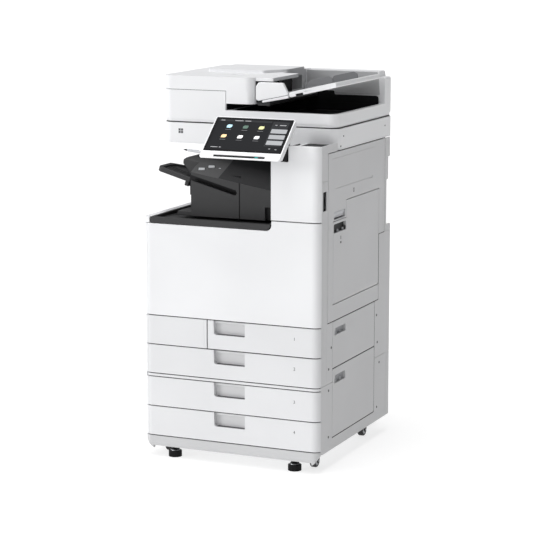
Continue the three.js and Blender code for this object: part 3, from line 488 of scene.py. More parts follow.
def drawer(index):
    body, front, tub = f"drawer_{index}", f"drawer_front_{index}", f"drawer_box_{index}"
    x0, _, _, _, z0, z1 = span(front)
    face = cover_slab(f"drawer_face_{index}", front, left=x0 < 1)
    recess = rounded([(GRIP_LEFT, z1 + 9), (GRIP_LEFT + 2, z1 - GRIP_HEIGHT),
                      (GRIP_RIGHT, z1 - GRIP_HEIGHT), (GRIP_RIGHT, z1 + 9)], [0, 7, 2, 0])
    tools = [prism("recess", "y", recess, -1, GRIP_DEPTH)]
    if x0 < 1:
        tools.append(corner_groove(z0, z1))
    dress(cut(face, *tools), body, DRAWER_WHITE, [front], bevel=1.1, segments=3)
    lip = box(f"drawer_grip_lip_{index}", GRIP_LEFT + 1, GRIP_RIGHT - 0.5, GRIP_DEPTH - 5,
              GRIP_DEPTH + 1, z1 - 8, z1 - 1, 1.5, "x")
    dress(lip, body, DRAWER_WHITE, bevel=0.5)
    # Grey plate at the back of the grip recess: painted shade inside the recess.
    back = box(f"drawer_recess_painted_shade_{index}", GRIP_LEFT + 3, GRIP_RIGHT - 0.5, GRIP_DEPTH - 0.6,
               GRIP_DEPTH + 0.4,
               z1 - GRIP_HEIGHT + 1, z1 - 8.5, 3, "y")
    dress(back, body, GREY, bevel=0)
    # Dark strip along the recess's lower edge: painted shadow line.
    grip_shadow_line = box(f"drawer_recess_painted_shadow_line_{index}", GRIP_LEFT + 8, GRIP_RIGHT - 2, 2, GRIP_DEPTH,
               z1 - GRIP_HEIGHT - 0.3,
               z1 - GRIP_HEIGHT + 0.9)
    dress(grip_shadow_line, body, MARK, bevel=0)
    numeral(index, body, 488, z1 - 38)

    tx0, tx1, ty0, ty1, tz0, tz1 = span(tub)
    wall = 2.5
    tub_x0, tub_x1 = tx0 + 7, tx1 - 7
    shell = box(f"drawer_tub_{index}", tub_x0, tub_x1, ty0, ty1, tz0, tz1, 3)
    hollow = box("hollow", tub_x0 + wall, tub_x1 - wall, ty0 + wall, ty1 - wall, tz0 + wall, tz1 + 1, 2)
    notch = box("notch", (tub_x0 + tub_x1) / 2 - 60, (tub_x0 + tub_x1) / 2 + 60, ty1 - 9, ty1 + 1,
                tz1 - 22, tz1 + 1)
    dress(cut(shell, hollow, notch), body, CHARCOAL, [tub], bevel=0.6)
    rail_z = z0 - 1.5 + 20
    rails = boxes(f"drawer_runners_{index}", [
        (tx0 + 0.2, tub_x0 + 0.2, 60, ty1, rail_z, rail_z + 4),
                                              (tub_x1 - 0.2, tx1 - 0.2, 60, ty1, rail_z, rail_z + 4),
        (tx0 + 4, tub_x0 + 0.2, 60, ty1, rail_z + 3.9, rail_z + 12),
        (tub_x1 - 0.2, tx1 - 4, 60, ty1, rail_z + 3.9, rail_z + 12)])
    dress(rails, body, STEEL, bevel=0.5)
    stiffeners = [(tub_x0 - 1.6, tub_x0 + 0.1, y, y + 3, tz0 + 2, tz1 - 12) for y in range(90, 540, 48)]
    stiffeners += [(tub_x1 - 0.1, tub_x1 + 1.6, y, y + 3, tz0 + 2, tz1 - 12) for y in range(90, 540, 48)]
    strips(f"drawer_ribs_{index}", stiffeners, body, CHARCOAL, 0.3)
    plate = box(f"drawer_lift_plate_{index}", tub_x0 + 60, tub_x1 - 10, ty0 + 60, ty1 - 70,
                tz0 + 6, tz0 + 8, 12)
    holes = [box("hole", tub_x0 + 140, tub_x0 + 170, y, y + 90, tz0, tz0 + 12, 8) for y in (150, 330)]
    dress(cut(plate, *holes), body, STEEL, bevel=0.4)
    fence = []
    for y in (ty0 + 46, ty1 - 62):
        fence += [(tub_x0 + 150, tub_x0 + 240, y, y + 3, tz0 + 3, tz1 - 6),
                  (tub_x0 + 170, tub_x0 + 220, y - 8, y + 11, tz0 + 3, tz0 + 6)]
    fence.append((tub_x0 + 40, tub_x0 + 43, ty0 + 190, ty0 + 260, tz0 + 3, tz1 - 6))
    strips(f"drawer_guides_{index}", fence, body, KEY_GREY, 0.6)


def numeral(index, body, x, z):
    """Small raised drawer number."""
    curve = bpy.data.curves.new(f"drawer_number_{index}", "FONT")
    curve.body = str(index)
    curve.size = 13 * MM
    curve.extrude = 0.15 * MM
    curve.align_x = "CENTER"
    text = bpy.data.objects.new(f"drawer_number_{index}", curve)
    bpy.context.scene.collection.objects.link(text)
    text.matrix_world = Matrix.Translation(at(x, -0.05, z)) @ Matrix.Rotation(math.pi / 2, 4, "X")
    bpy.context.view_layer.update()
    mesh = bpy.data.meshes.new_from_object(text.evaluated_get(bpy.context.evaluated_depsgraph_get()))
    mesh.transform(text.matrix_world)
    bpy.data.objects.remove(text)
    obj = bpy.data.objects.new(f"drawer_numeral_{index}", mesh)
    bpy.context.scene.collection.objects.link(obj)
    dress(obj, body, MARK, bevel=0)


def waste_cover():
    _, x1, _, _, z0, z1 = span("waste_cover")
    face = cover_slab("waste_toner_cover", "waste_cover", right=False)
    line = box("line", x1 - 9, x1 - 8.2, -1, 0.7, z0 - 1, z1 + 1)
    finger = box("finger", x1 - 40, x1 - 12, 12, 20, z0 + 20, z1 - 20, 4, "y")
    dress(cut(face, corner_groove(z0, z1), line, finger), "waste_door", DRAWER_WHITE, ["waste_cover"],
          bevel=1.1, segments=3)
    bx0, bx1, by0, by1, bz0, bz1 = span("waste_toner_box")
    tank = box("waste_tank", bx0, bx1, by0, by1 - 22, bz0, bz1, 9)
    grip = box("grip", (bx0 + bx1) / 2 - 34, (bx0 + bx1) / 2 + 34, by0 - 1, by0 + 16, bz0 + 20, bz1 - 16,
               6, "y")
    dress(cut(tank, grip), "cabinet", PEN_GREY, ["waste_toner_box"], bevel=2, segments=3)
    dress(rod("waste_tank_neck", "y", 12, by1 - 24, by1, 110, 381), "cabinet", PEN_GREY)
    strips("waste_tank_ribs", [(bx0 + 8, bx1 - 8, y, y + 3, bz1 - 1, bz1 + 1.6)
                                    for y in range(60, 300, 40)], "cabinet", PEN_GREY, 0.5)


def front_door():
    _, _, _, _, z0, z1 = span("front_door")
    low_top, step_x, fillet = 701, COLUMN_X + 1.5, 17
    low = prism("front_door_cover", "z", cover_plan(0, WIDTH), z0, low_top)
    high = prism("high", "z", cover_plan(step_x, WIDTH, left=False), z0 + 10, z1)
    arc = ellipse_arc(step_x - fillet, low_top + fillet, fillet, fillet, 270, 360, 8)
    web = prism("web", "y", [(step_x - fillet, low_top - 4), (step_x + 4, low_top - 4),
                             (step_x + 4, low_top + fillet), *reversed(arc)], 0, FRONT_DEPTH)
    door = join(low, high, web)
    pocket = box("pocket", 18, WIDTH - 18, 9, FRONT_DEPTH + 1, z0 + 14, low_top - 14, 12, "y")
    dress(cut(door, pocket, corner_groove(z0, low_top)), "door", WHITE, ["front_door"], bevel=1.1,
          segments=3)
    ribs = [(x, x + 2, 8.8, 16, z0 + 15, low_top - 15) for x in range(60, 540, 60)]
    ribs += [(19, WIDTH - 19, 8.8, 14, z, z + 2) for z in (490, 560, 630)]
    strips("front_door_ribs", ribs, "door", LINER, 0.4)
    catches = [(x, x + 16, 15, 23, low_top - 12, low_top - 4) for x in (60, 380)]
    strips("front_door_catches", catches, "door", BLACK, 0.8)


def base_cover():
    low, corner, lip, wall = 14, 24, 9, 4
    top, skirt = span("base_cover")[5], 45
    slab = prism("base_skirt", "z", cover_plan(0, WIDTH), low, top)
    face = rounded([(0, top + 2), (0, skirt), (corner, low), (WIDTH - corner, low), (WIDTH, skirt),
                    (WIDTH, top + 2)], [0, 14, 14, 14, 14, 0])
    side = rounded([(0, top + 2), (0, low + 2 * lip), (lip, low), (FRONT_DEPTH, low),
                    (FRONT_DEPTH, top + 2)], [0, 9, 6, 0, 0])
    combine(slab, "INTERSECT", [prism("face", "y", face, -1, FRONT_DEPTH + 1)])
    combine(slab, "INTERSECT", [prism("side", "x", side, -1, WIDTH + 1)])
    cut(slab, box("hollow", CORNER_WIDTH, WIDTH - CORNER_WIDTH, wall, FRONT_DEPTH + 1, low - 1, top - wall))
    # The darkened white gives the base cover its painted shade.
    dress(slab, "cabinet", BASE_SHADE_WHITE, ["base_cover"], bevel=0.9, segments=2)


def shut_lines():
    """Black strips behind the gaps between the front covers: painted shade that darkens the shut lines."""
    far, inset = 24, 3
    plan = front_plan(inset, WIDTH - inset, inset, far, CORNER_WIDTH, FRONT_DEPTH)
    gaps = [(z - 1.2, z + 1.2) for z in DRAWER_SEAMS] + [(236.9, 238.9), (246.9, 249.1)]
    gap_shades = [prism("gap_shade_piece", "z", plan, low, high) for low, high in gaps]
    short_plan = front_plan(inset, WIDTH - inset, inset, FRONT_DEPTH + 0.5, CORNER_WIDTH,
                            FRONT_DEPTH - inset)
    gap_shades.append(prism("gap_shade_piece", "z", short_plan, 55.8, 58.2))
    gap_shades.append(box("gap_shade_piece", 207.4, 209.6, inset, far, 338.2, 423.2))
    high_plan = front_plan(COLUMN_X + 4, WIDTH - inset, inset, far - 1, CORNER_WIDTH, FRONT_DEPTH,
                           left=False)
    gap_shades.append(prism("gap_shade_piece", "z", high_plan, 731, 732.8))
    dress(gather("cover_gap_painted_shade", gap_shades), "cabinet", BLACK, bevel=0)
    strip = prism("module_joint_strip", "z", cover_plan(0, WIDTH), *MODULE_JOINT)
    dress(strip, "cabinet", DRAWER_WHITE, bevel=0.8)


# ---- Column -------------------------------------------------------------------------------------------
def column_cover():
    _, _, _, back, z0, z1 = span("column_cover")
    ledge, step = 904, 468
    tall = prism("column_front", "z", cover_plan(COLUMN_X, WIDTH, left=False), z0, z1)
    back_half = box("back", COLUMN_X, WIDTH - 3.8, FRONT_DEPTH - 1, back, z0, z1 - 6)
    body = join(tall, back_half)
    notch = box("notch", COLUMN_X - 1, step, -1, back + 1, ledge, z1 + 1)
    inside = box("inside", COLUMN_X + 3, WIDTH - 3, 15, back + 1, z0 - 1, ledge - 3)
    upper = box("upper", step + 3, WIDTH - 3, 22, back + 1, ledge - 6, z1 - 10)
    well = box("well", step + 8, WIDTH - 10, 30, back + 1, z1 - 9, z1 + 1, 6)
    cut(body, notch, inside, upper)
    cut(body, well)
    dress(body, "cabinet", WHITE, ["column_cover"], bevel=2.2, segments=4)
    tray = box("column_top_recess", step + 8.3, WIDTH - 10.3, 30.3, back - 1, z1 - 12, z1 - 6.5, 6)
    dress(tray, "cabinet", BLACK, bevel=0.6)


def panel_bracket():
    x0, x1, y0, y1, z0, _ = span("panel_bracket")
    py, pz, radius = 8, 946, 11
    outline = [(py - radius, z0), (y1, z0), (y1, z0 + 7), (py + radius + 10, z0 + 14),
               *ellipse_arc(py, pz, radius, radius, 0, 180, 14)]
    post = prism("panel_post", "x", outline, 446, x1)
    foot = box("foot", 426, 450, y0 + 5, y1, z0, z0 + 8, 3)
    pin = rod("pin", "x", 4, x0, 448, py, pz)
    dress(join(post, foot, pin), "cabinet", BLACK, ["panel_bracket"], bevel=1.2, segments=3)
    dress(box("panel_arm_shroud", 466.2, 467.6, -3, 90, 912, 948, 4, "x"), "cabinet", BLACK, bevel=0.5)


# ---- Side covers --------------------------------------------------------------------------------------
RIGHT_COVER = dict(front=66, back=527, low_back=479, step=635, z0=430, z1=924)
ACCESS_FRONT, ACCESS_BACK = 106, 448
BYPASS = dict(front=106, back=477.5, z0=479, z1=774, latch_back=209, latch_z=722)
GAP = 2.5


def right_cover_outline(grow):
    c = RIGHT_COVER
    return [(c["front"] - grow, c["z0"] - grow), (c["low_back"] + grow, c["z0"] - grow),
            (c["low_back"] + grow, c["step"] - grow), (c["back"] + grow, c["step"] - grow),
            (c["back"] + grow, c["z1"] + grow), (c["front"] - grow, c["z1"] + grow)]


def bypass_outline(grow):
    b = BYPASS
    return [(b["front"] - grow, b["z0"] - grow), (b["back"] + grow, b["z0"] - grow),
            (b["back"] + grow, b["z1"] + grow), (b["latch_back"] - grow, b["z1"] + grow),
            (b["latch_back"] - grow, b["latch_z"] + grow), (b["front"] - grow, b["latch_z"] + grow)]


def right_side_cover():
    _, _, y0, y1, z0, z1 = span("right_side_cover")
    steps = [(y1, 655), (543, 655), (543, 795), (556, 795), (556, 865), (570, 865), (570, 924)]
    outline = [(y0, z0), (y1, z0), *steps, (READER_Y - 1, 924), (READER_Y - 1, z1), (y0, z1)]
    radii = [10, 2, 6, 2, 2, 2, 2, 2, 0, 2, 3, 0]
    panel = prism("right_side_panel", "x", rounded(outline, radii, 4), WIDTH - SIDE_SKIN, WIDTH)
    front, back = ACCESS_FRONT - GAP, ACCESS_BACK + GAP
    holes = [prism("door_hole", "x", rounded(right_cover_outline(GAP), 3, 3), WIDTH - 4, WIDTH + 1)]
    for node in ("upper_access_door", "lower_access_door"):
        low, high = span(node)[4:]
        holes.append(box("access_hole", WIDTH - 4, WIDTH + 1, front, back, low - GAP, high + GAP, 4, "x"))
    holes.append(box("switch_hole", WIDTH - 4, WIDTH + 1, 26, 54, 762, 818, 2, "x"))
    cut(panel, *holes)
    seam = 1.1
    lines = [(21, 63, COLUMN_SEAM), (18, 103, MODULE_SEAM), (451, SIDE_BACK + 1, MODULE_SEAM),
             (482, SIDE_BACK + 1, RIGHT_COVER["step"])]
    grooves = [box("groove", WIDTH - 1.2, WIDTH + 1, a, b, z - seam / 2, z + seam / 2) for a, b, z in lines]
    posts = [(550, 50, 247), (33, 300, 846), (58, 250, 420)]
    grooves += [box("groove", WIDTH - 0.9, WIDTH + 1, y - 0.4, y + 0.4, a, b) for y, a, b in posts]
    cut(panel, *grooves)
    dress(panel, "cabinet", GREY, ["right_side_cover"], bevel=0.5)
    for k, (y, z) in enumerate([(94, 353), (75, 292), (75, 228), (466, 382), (474, 295), (492, 228),
                                (75, 88),
                                (474, 89)], 1):
        screw(f"side_screw_{k}", "cabinet", WIDTH, y, z)
    # Black strips on the chassis behind the side gaps: painted shade that darkens the gap lines.
    backing = [(CHASSIS_GAP_X, CHASSIS_GAP_X + 1.5, a, b, c, d) for a, b, c, d in (
        (60, 70, 425, 640), (440, 535, 640, 644), (60, 110, 425, 428), (475, 485, 428, 634))]
    strips("side_gap_painted_shade", backing, "cabinet", BLACK)
    # Black rims just inside the gaps round the side doors: painted shade on the gap edges.
    rim_shades = []
    spans = [span(node)[4:] for node in ("upper_access_door", "lower_access_door")]
    shapes = [(rounded(right_cover_outline(GAP + 0.1), 3, 3), rounded(right_cover_outline(GAP - 1), 3, 3))]
    shapes += [tuple(rectangle(front + GAP - g, back - GAP + g, low - g, high + g, 3) for g in (GAP + 0.1,
            GAP - 1))
               for low, high in spans]
    for outer, inner in shapes:
        ring = prism("ring", "x", outer, WIDTH - 2.9, WIDTH - 0.8)
        rim_shades.append(cut(ring, prism("inner", "x", inner, WIDTH - 4, WIDTH)))
    dress(gather("side_gap_painted_edge_shade", rim_shades), "cabinet", BLACK, bevel=0)


def right_cover():
    inner = span("right_cover")[0]
    slab = prism("right_door_panel", "x", rounded(right_cover_outline(0), [4, 4, 0, 4, 4, 4], 4), inner,
                 WIDTH)
    b = BYPASS
    deep = [(b["front"] - 2, b["z0"] - 2), (b["back"] + 20, b["z0"] - 2),
            (b["back"] + 20, RIGHT_COVER["step"] - 1.5), (b["back"] + 2, RIGHT_COVER["step"] - 1.5),
            (b["back"] + 2, b["z1"] + 2), (b["latch_back"] - 2, b["z1"] + 2),
            (b["latch_back"] - 2, b["latch_z"] + 2), (b["front"] - 2, b["latch_z"] + 2)]
    tools = [prism("pocket", "x", deep, WIDTH - 12, WIDTH + 1),
             box("feed", inner - 1, WIDTH, 140, 440, 490, 502),
             box("latch", WIDTH - 10, WIDTH + 1, 110, 200, 727, 750, 4, "x"),
             box("line", WIDTH - 0.8, WIDTH + 1, 92, 446, 906.4, 907.6),
             box("line", WIDTH - 1, WIDTH + 1, 118, 422, 817.3, 818.7),
             box("tab", WIDTH - 2, WIDTH + 1, 390, 424, 815, 821, 2, "x"),
             box("line", WIDTH - 0.8, WIDTH + 1, 511.5, 512.5, 640, 918)]
    cut(slab, *tools)
    dress(slab, "side_door", GREY, ["right_cover"], bevel=0.9, segments=2)
    guides = [(inner - 2.5, inner + 0.1, y, y + 2.5, 520, 880) for y in range(120, 480, 30)]
    strips("paper_path_guides", guides, "side_door", BLACK, 0.5)
    rollers("feed_rollers", "side_door", 6, 36, (160, 260, 360), inner - 1.5, 700, 24, 0.5)
    lamp = [(WIDTH - 0.1, WIDTH + 0.25, 262, 270, 791, 793),
            (WIDTH - 0.1, WIDTH + 0.25, 262, 264, 793, 801),
            (WIDTH - 0.1, WIDTH + 0.25, 268, 270, 793, 801),
            (WIDTH - 0.1, WIDTH + 0.25, 262, 270, 801, 803)]
    strips("side_paper_mark", lamp, "side_door", MARK)


def latch_and_bypass():
    x0, x1, y0, y1, z0, z1 = span("right_cover_latch")
    handle = rounded([(x0, z0), (x0 + 2, z0), (x0 + 3, z0 + 9), (x1, z0 + 10), (x1, z1), (x0, z1)],
                     [0.6, 0.8, 1.5, 1.5, 2.5, 1], 4)
    dress(prism("right_door_handle", "y", handle, y0, y1), "side_latch", LINER,
          ["right_cover_latch"], bevel=0.6)
    # Black sheet on the floor of the handle cup: painted shade in the recess.
    strips("handle_cup_painted_shade", [(WIDTH - 9.9, WIDTH - 9.5, 110.3, 199.7, 727.3, 749.7)], "side_door",
           BLACK)

    inner = span("bypass_tray")[0]
    plate = prism("bypass_tray_panel", "x", rounded(bypass_outline(0), [4, 4, 4, 3, 2, 3], 4), inner, WIDTH)
    bed = box("bed", inner - 1, WIDTH - 3, 125, 460, 500, 700, 6, "x")
    grip = box("grip", WIDTH - 9, WIDTH + 1, 110, 207, 688, 714, 5, "x")
    dress(cut(plate, bed, grip), "bypass", GREY, ["bypass_tray"], bevel=1.0, segments=3)
    ribs = [(inner + 0.6, WIDTH - 2.9, y, y + 2, 504, 696) for y in (150, 190, 230, 292, 354, 394, 434)]
    strips("bypass_bed_ribs", ribs, "bypass", LINER, 0.5)
    guides = [(inner + 0.4, inner + 6, y, y + 4, 560, 640) for y in (210, 374)]
    strips("bypass_side_guides", guides, "bypass", KEY_GREY, 0.6)
    # Black sheet on the floor of the grip: painted shade in the recess.
    strips("bypass_grip_painted_shade", [(WIDTH - 8.9, WIDTH - 8.5, 124, 206.6, 688.4, 713.6)], "bypass", BLACK)
    lamp = [(WIDTH - 0.1, WIDTH + 0.25, 162, 166, 664, 674),
            (WIDTH - 0.1, WIDTH + 0.25, 159, 169, 652, 658)]
    strips("bypass_load_mark", lamp, "bypass", MARK)


def access_door(node, body, grip_z0, grip_z1):
    x0, _, _, _, z0, z1 = span(node)
    slab = box(f"{node}_panel", x0, WIDTH, ACCESS_FRONT, ACCESS_BACK, z0, z1, 4, "x")
    hollow = box("hollow", x0 - 1, WIDTH - 3, ACCESS_FRONT + 3, ACCESS_BACK - 3, z0 + 3, z1 - 3, 3, "x")
    cup = box("cup", x0, WIDTH - 1, 119, 211, grip_z0 - 3, grip_z1 + 3, 4, "x")
    grip = box("grip", x0 + 3, WIDTH + 1, 122, 208, grip_z0, grip_z1, 4, "x")
    cut(slab, hollow)
    join(slab, cup)
    cut(slab, grip)
    dress(slab, body, GREY, [node], bevel=1.0, segments=3)
    # Darker sheet on the floor of the grip: painted shade in the recess.
    grip_shade = box(f"{node}_grip_floor_painted_shade", x0 + 3.1, x0 + 3.6, 150, 207.6, grip_z0 + 0.4, grip_z1 - 0.4)
    dress(grip_shade, body, SOFT_MARK, bevel=0)
    guides = [(x0 + 2, WIDTH - 2.9, y, y + 2, z0 + 6, z1 - (36 if y < 216 else 6)) for y in range(140,
            440, 36)]
    strips(f"{node}_guides", guides, body, LINER, 0.4)


def left_side_cover():
    _, rim, _, y1, z0, z1 = span("left_side_cover")
    panel = box("left_side_panel", 0, 3, FRONT_DEPTH + 0.4, y1, z0, DECK_TOP, 6, "x")
    lines = [box("groove", -1, 1.1, FRONT_DEPTH - 1, y1 + 1, z - 0.6, z + 0.6) for z in (MODULE_SEAM, 610)]
    lines += [box("vent", -1, 4, 380, 520, z, z + 3, 1.4, "x") for z in range(520, 590, 8)]
    lines.append(box("handle", -1, 2.2, 200, 330, 272, 300, 8, "x"))
    dress(cut(panel, *lines), "cabinet", GREY, ["left_side_cover"], bevel=0.5)
    plan = front_plan(0, rim, 0, 538, rim - 1, FRONT_DEPTH, right=False)
    dress(prism("left_rim", "z", plan, DECK_TOP, z1), "cabinet", WHITE, bevel=0.8)
    for k, (y, z) in enumerate([(40, 80), (560, 80), (40, 230), (560, 230), (40, 440), (560, 440),
                                (40, 680), (500, 680)], 1):
        screw(f"left_screw_{k}", "cabinet", 0, y, z, back=True)


def power_switch():
    x0, x1, y0, y1, z0, z1 = span("power_switch")
    middle = (z0 + z1) / 2
    rocker = rounded([(x0, z0), (x1 - 5, z0), (x1, z0 + 2), (x1 - 3, middle), (x1, z1 - 2), (x1 - 5, z1),
                      (x0, z1)],
                     [0, 0, 1.2, 12, 1.2, 0, 0])
    dress(prism("power_rocker", "y", rocker, y0, y1), "switch", BLACK, ["power_switch"], bevel=0.4)
    rim = box("power_switch_bezel", WIDTH - 12, WIDTH - 3.2, 25, 55, 761, 819, 2.5, "x")
    hole = box("hole", WIDTH - 13, WIDTH, 42, 53, 763, 817, 1.5, "x")
    dress(cut(rim, hole), "cabinet", BLACK, bevel=0.3)


def rear_cover():
    x0, x1, y0, y1, z0, z1 = span("rear_cover")
    shell = box("rear_panel", x0, x1, y0, y1, z0, z1, 8)
    hollow = box("hollow", x0 + 3, x1 - 3, y0 - 1, y1 - 3, z0 + 3, z1 - 3)
    ix0, ix1, _, _, iz0, iz1 = span("power_inlet")
    tools = [box("inlet", ix0 - 0.4, ix1 + 0.4, y1 - 10, y1 + 1, iz0 - 0.4, iz1 + 0.4)]
    cut(shell, hollow, *tools)
    slots = []
    for a, b, c, d in ((60, 200, 600, 720), (300, 460, 150, 260), (330, 470, 690, 800)):
        slots += [(a, b, y1 - 5, y1 + 1, z, z + 3.4) for z in range(c, d, 9)]
    cut(shell, boxes("vents", slots))
    seams = [(x0 - 1, x1 + 1, y1 - 0.9, y1 + 1, z - 0.6, z + 0.6) for z in (MODULE_SEAM, 560, COLUMN_SEAM)]
    seams += [(259.4, 260.6, y1 - 0.9, y1 + 1, low + 0.9, high - 0.9) for low,
              high in ((MODULE_SEAM, 560), (560, COLUMN_SEAM))]
    cut(shell, boxes("seams", seams))
    ports = box("ports", 396, 480, y1 - 2, y1 + 1, 420, 540, 4, "y")
    cut(shell, ports)
    dress(shell, "cabinet", GREY, ["rear_cover"], bevel=0.7)
    meshes = [(60, 200, y1 - 4.4, y1 - 3.8, 598, 722), (300, 460, y1 - 4.4, y1 - 3.8, 148, 262),
              (330, 470, y1 - 4.4, y1 - 3.8, 688, 802)]
    strips("vent_filters", meshes, "cabinet", BLACK)
    jacks = [(404, 422, y1 - 2.4, y1 - 1.2, z, z + 14) for z in (430, 454, 478)]
    jacks += [(432, 446, y1 - 2.4, y1 - 1.2, 432, 444), (432, 446, y1 - 2.4, y1 - 1.2, 456, 468),
              (404, 470, y1 - 2.4, y1 - 1.2, 505, 527)]
    strips("interface_ports", jacks, "cabinet", BLACK, 0.4)
    for k, (x, z) in enumerate([(x, z) for x in (x0 + 12, x1 - 12) for z in (80, 236, 262, 548, 574, 836,
            862, 908)], 1):
        screw(f"rear_screw_{k}", "cabinet", x, y1, z, facing="y")


def power_inlet():
    x0, x1, y0, y1, z0, z1 = span("power_inlet")
    flange = box("inlet_body", x0, x1, y0, y1 - 1.5, z0, z1, 3, "y")
    well = box("well", x0 + 10, x1 - 10, y1 - 20, y1 + 2, z0 + 7, z1 - 7, 3, "y")
    dress(cut(flange, well), "cabinet", BLACK, ["power_inlet"], bevel=0.6)
    middle = (x0 + x1) / 2
    pins = [(middle + dx - 1.6, middle + dx + 1.6, y1 - 21, y1 - 6, z0 + 12, z0 + 19) for dx in (-8, 0, 8)]
    strips("inlet_pins", pins, "cabinet", CASTER_STEEL, 0.4)


# ---- Engine -------------------------------------------------------------------------------------------
BOTTLE_Z = 650


def carry(node, body, material, bevel=0.5):
    """Shows a CAD node as it is, with its edges softened."""
    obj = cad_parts[node]
    obj.data.materials.clear()
    obj.data.materials.append(material)
    weld = obj.modifiers.new("weld", "WELD")
    weld.merge_threshold = 0.00002
    if bevel:
        soften(obj, bevel, angle=35)


def toner_bottle(index):
    node, body, material = f"toner_bottle_{index}", f"toner_{index}", TONERS[index - 1]
    x0, x1, y0, _, z0, z1 = span(node)
    x, z, radius = (x0 + x1) / 2, (z0 + z1) / 2, (x1 - x0) / 2
    profile = [(0, 48), (radius - 4, 48), (radius, 52), (radius, 92)]
    for y in range(100, 380, 14):
        profile += [(radius, y), (radius - 2.2, y + 3), (radius - 2.2, y + 5), (radius, y + 8)]
    profile += [(radius, 394), (radius - 5, 400), (radius * 0.5, 402), (radius * 0.5, 438),
                (radius * 0.45, 440),
                (0, 440)]
    lathe(f"toner_body_{index}", "y", profile, x, z, 56, body, material, [node])
    cap = [(0, 36), (radius * 0.74, 36), (radius * 0.8, 38), (radius * 0.8, 49), (0, 49)]
    lathe(f"toner_cap_{index}", "y", cap, x, z, 56, body, LINER)
    grip = box(f"toner_grip_{index}", x - radius * 0.6, x + radius * 0.6, y0, 37, z - 4, z + 4, 2.5)
    dress(grip, body, material, bevel=1.2, segments=3)


def engine():
    x0, x1, y0, y1, z0, z1 = span("inner_cover")
    plate = box("engine_inner_cover", x0, x1, y0, y1, z0, z1, 8, "y")
    bottles = [sum(span(f"toner_bottle_{i}")[:2]) / 2 for i in range(1, 5)]
    holes = [rod("hole", "y", 39, y0 - 1, y1 + 1, x, BOTTLE_Z, 48) for x in bottles]
    holes.append(box("window", 40, 440, y0 - 1, y1 + 1, 520, 600, 8, "y"))
    cut(plate, *holes)
    dress(plate, "cabinet", LINER, ["inner_cover"], bevel=0.8)
    for i, x in enumerate(bottles, 1):
        collar = [(38.8, y0 - 2.5), (41, y0 - 3), (42.5, y0 - 1.5), (42.5, y0 + 0.5), (38.8, y0 + 0.5),
                  (38.8, y0 - 2.5)]
        lathe(f"toner_collar_{i}", "y", collar, x, BOTTLE_Z, 56, "cabinet", GREY)
        dress(box(f"toner_color_tab_{i}", x - 16, x + 16, y0 - 1, y0 + 0.5, 602.5, 608.5, 2, "y"),
              "cabinet",
              TONERS[i - 1], bevel=0.3)
    lever = rounded([(452, 530), (470, 530), (470, 602), (452, 602)], 7)
    dress(prism("belt_release_lever", "y", lever, y0 - 8, y0 + 0.5), "cabinet", KEY_GREY, bevel=1.5,
          segments=3)
    dress(rod("belt_lever_hub", "y", 13, y0 - 4, y0 + 0.5, 461, 540, 40), "cabinet", BLACK, bevel=1)
    hatch = box("waste_path_hatch", 454, 528, y0 - 1.5, y0 + 0.5, 446, 512, 6, "y")
    dress(hatch, "cabinet", LINER, bevel=0.6)

    px0, px1, py0, py1 = span("process_unit")[:4]
    tray = box("process_tray", px0, px1, py0, py1, 530, 560, 4)
    slits = boxes("slits", [(x + 14, x + 44, py0 + 20, py1 - 20, 556, 562) for x in bottles])
    dress(cut(tray, slits), "cabinet", BLACK, ["process_unit"], bevel=0.8)
    for i, x in enumerate(bottles, 1):
        dress(rod(f"drum_{i}", "y", 15, 42, 483, x + 10, 575, 48), "cabinet", BELT, bevel=0.8)
        case = rounded([(x - 25, 556), (x + 2, 556), (x + 2, 570), (x - 2, 588), (x - 25, 588)],
                       [0, 0, 0, 4, 6])
        dress(prism(f"developer_{i}", "y", case, 45, 480), "cabinet", BLACK, bevel=0.8)
        dress(box(f"drum_pull_{i}", x - 20, x + 26, 42.2, 45.4, 533, 546, 4, "y"), "cabinet", KEY_GREY,
              bevel=0.8)
    carry("transfer_belt", "cabinet", BELT, 0)
    carry("laser_scanner", "cabinet", BLACK)
    carry("main_frame", "cabinet", STEEL, 0)
    bx0, bx1, by0, by1 = span("transfer_belt")[:4]
    frame_bars = [(bx0 + 6, bx1 - 6, by0 - 3.5, by0 - 0.4, 599, 611),
                  (bx0 + 6, bx1 - 6, by1 + 0.4, by1 + 3, 599, 611)]
    strips("belt_side_plates", frame_bars, "cabinet", BLACK, 0.6)

    fx0, fx1, fy0, fy1, fz0 = span("fixing_unit")[:5]
    shell = box("fixing_case", fx0, fx1, fy0, fy1, fz0, 850, 6, "y")
    louvres = boxes("louvres", [(fx0 - 1, fx0 + 2, y, y + 22, 770, 830) for y in range(int(fy0) + 20, 490,
            34)])
    dress(cut(shell, louvres), "cabinet", BLACK, ["fixing_unit"], bevel=0.9)
    for k, x in enumerate((470, 510), 1):
        dress(rod(f"exit_roller_{k}", "y", 18, fy0 + 1, fy1 - 1, x, 856, 40), "cabinet", RUBBER, bevel=0.8)


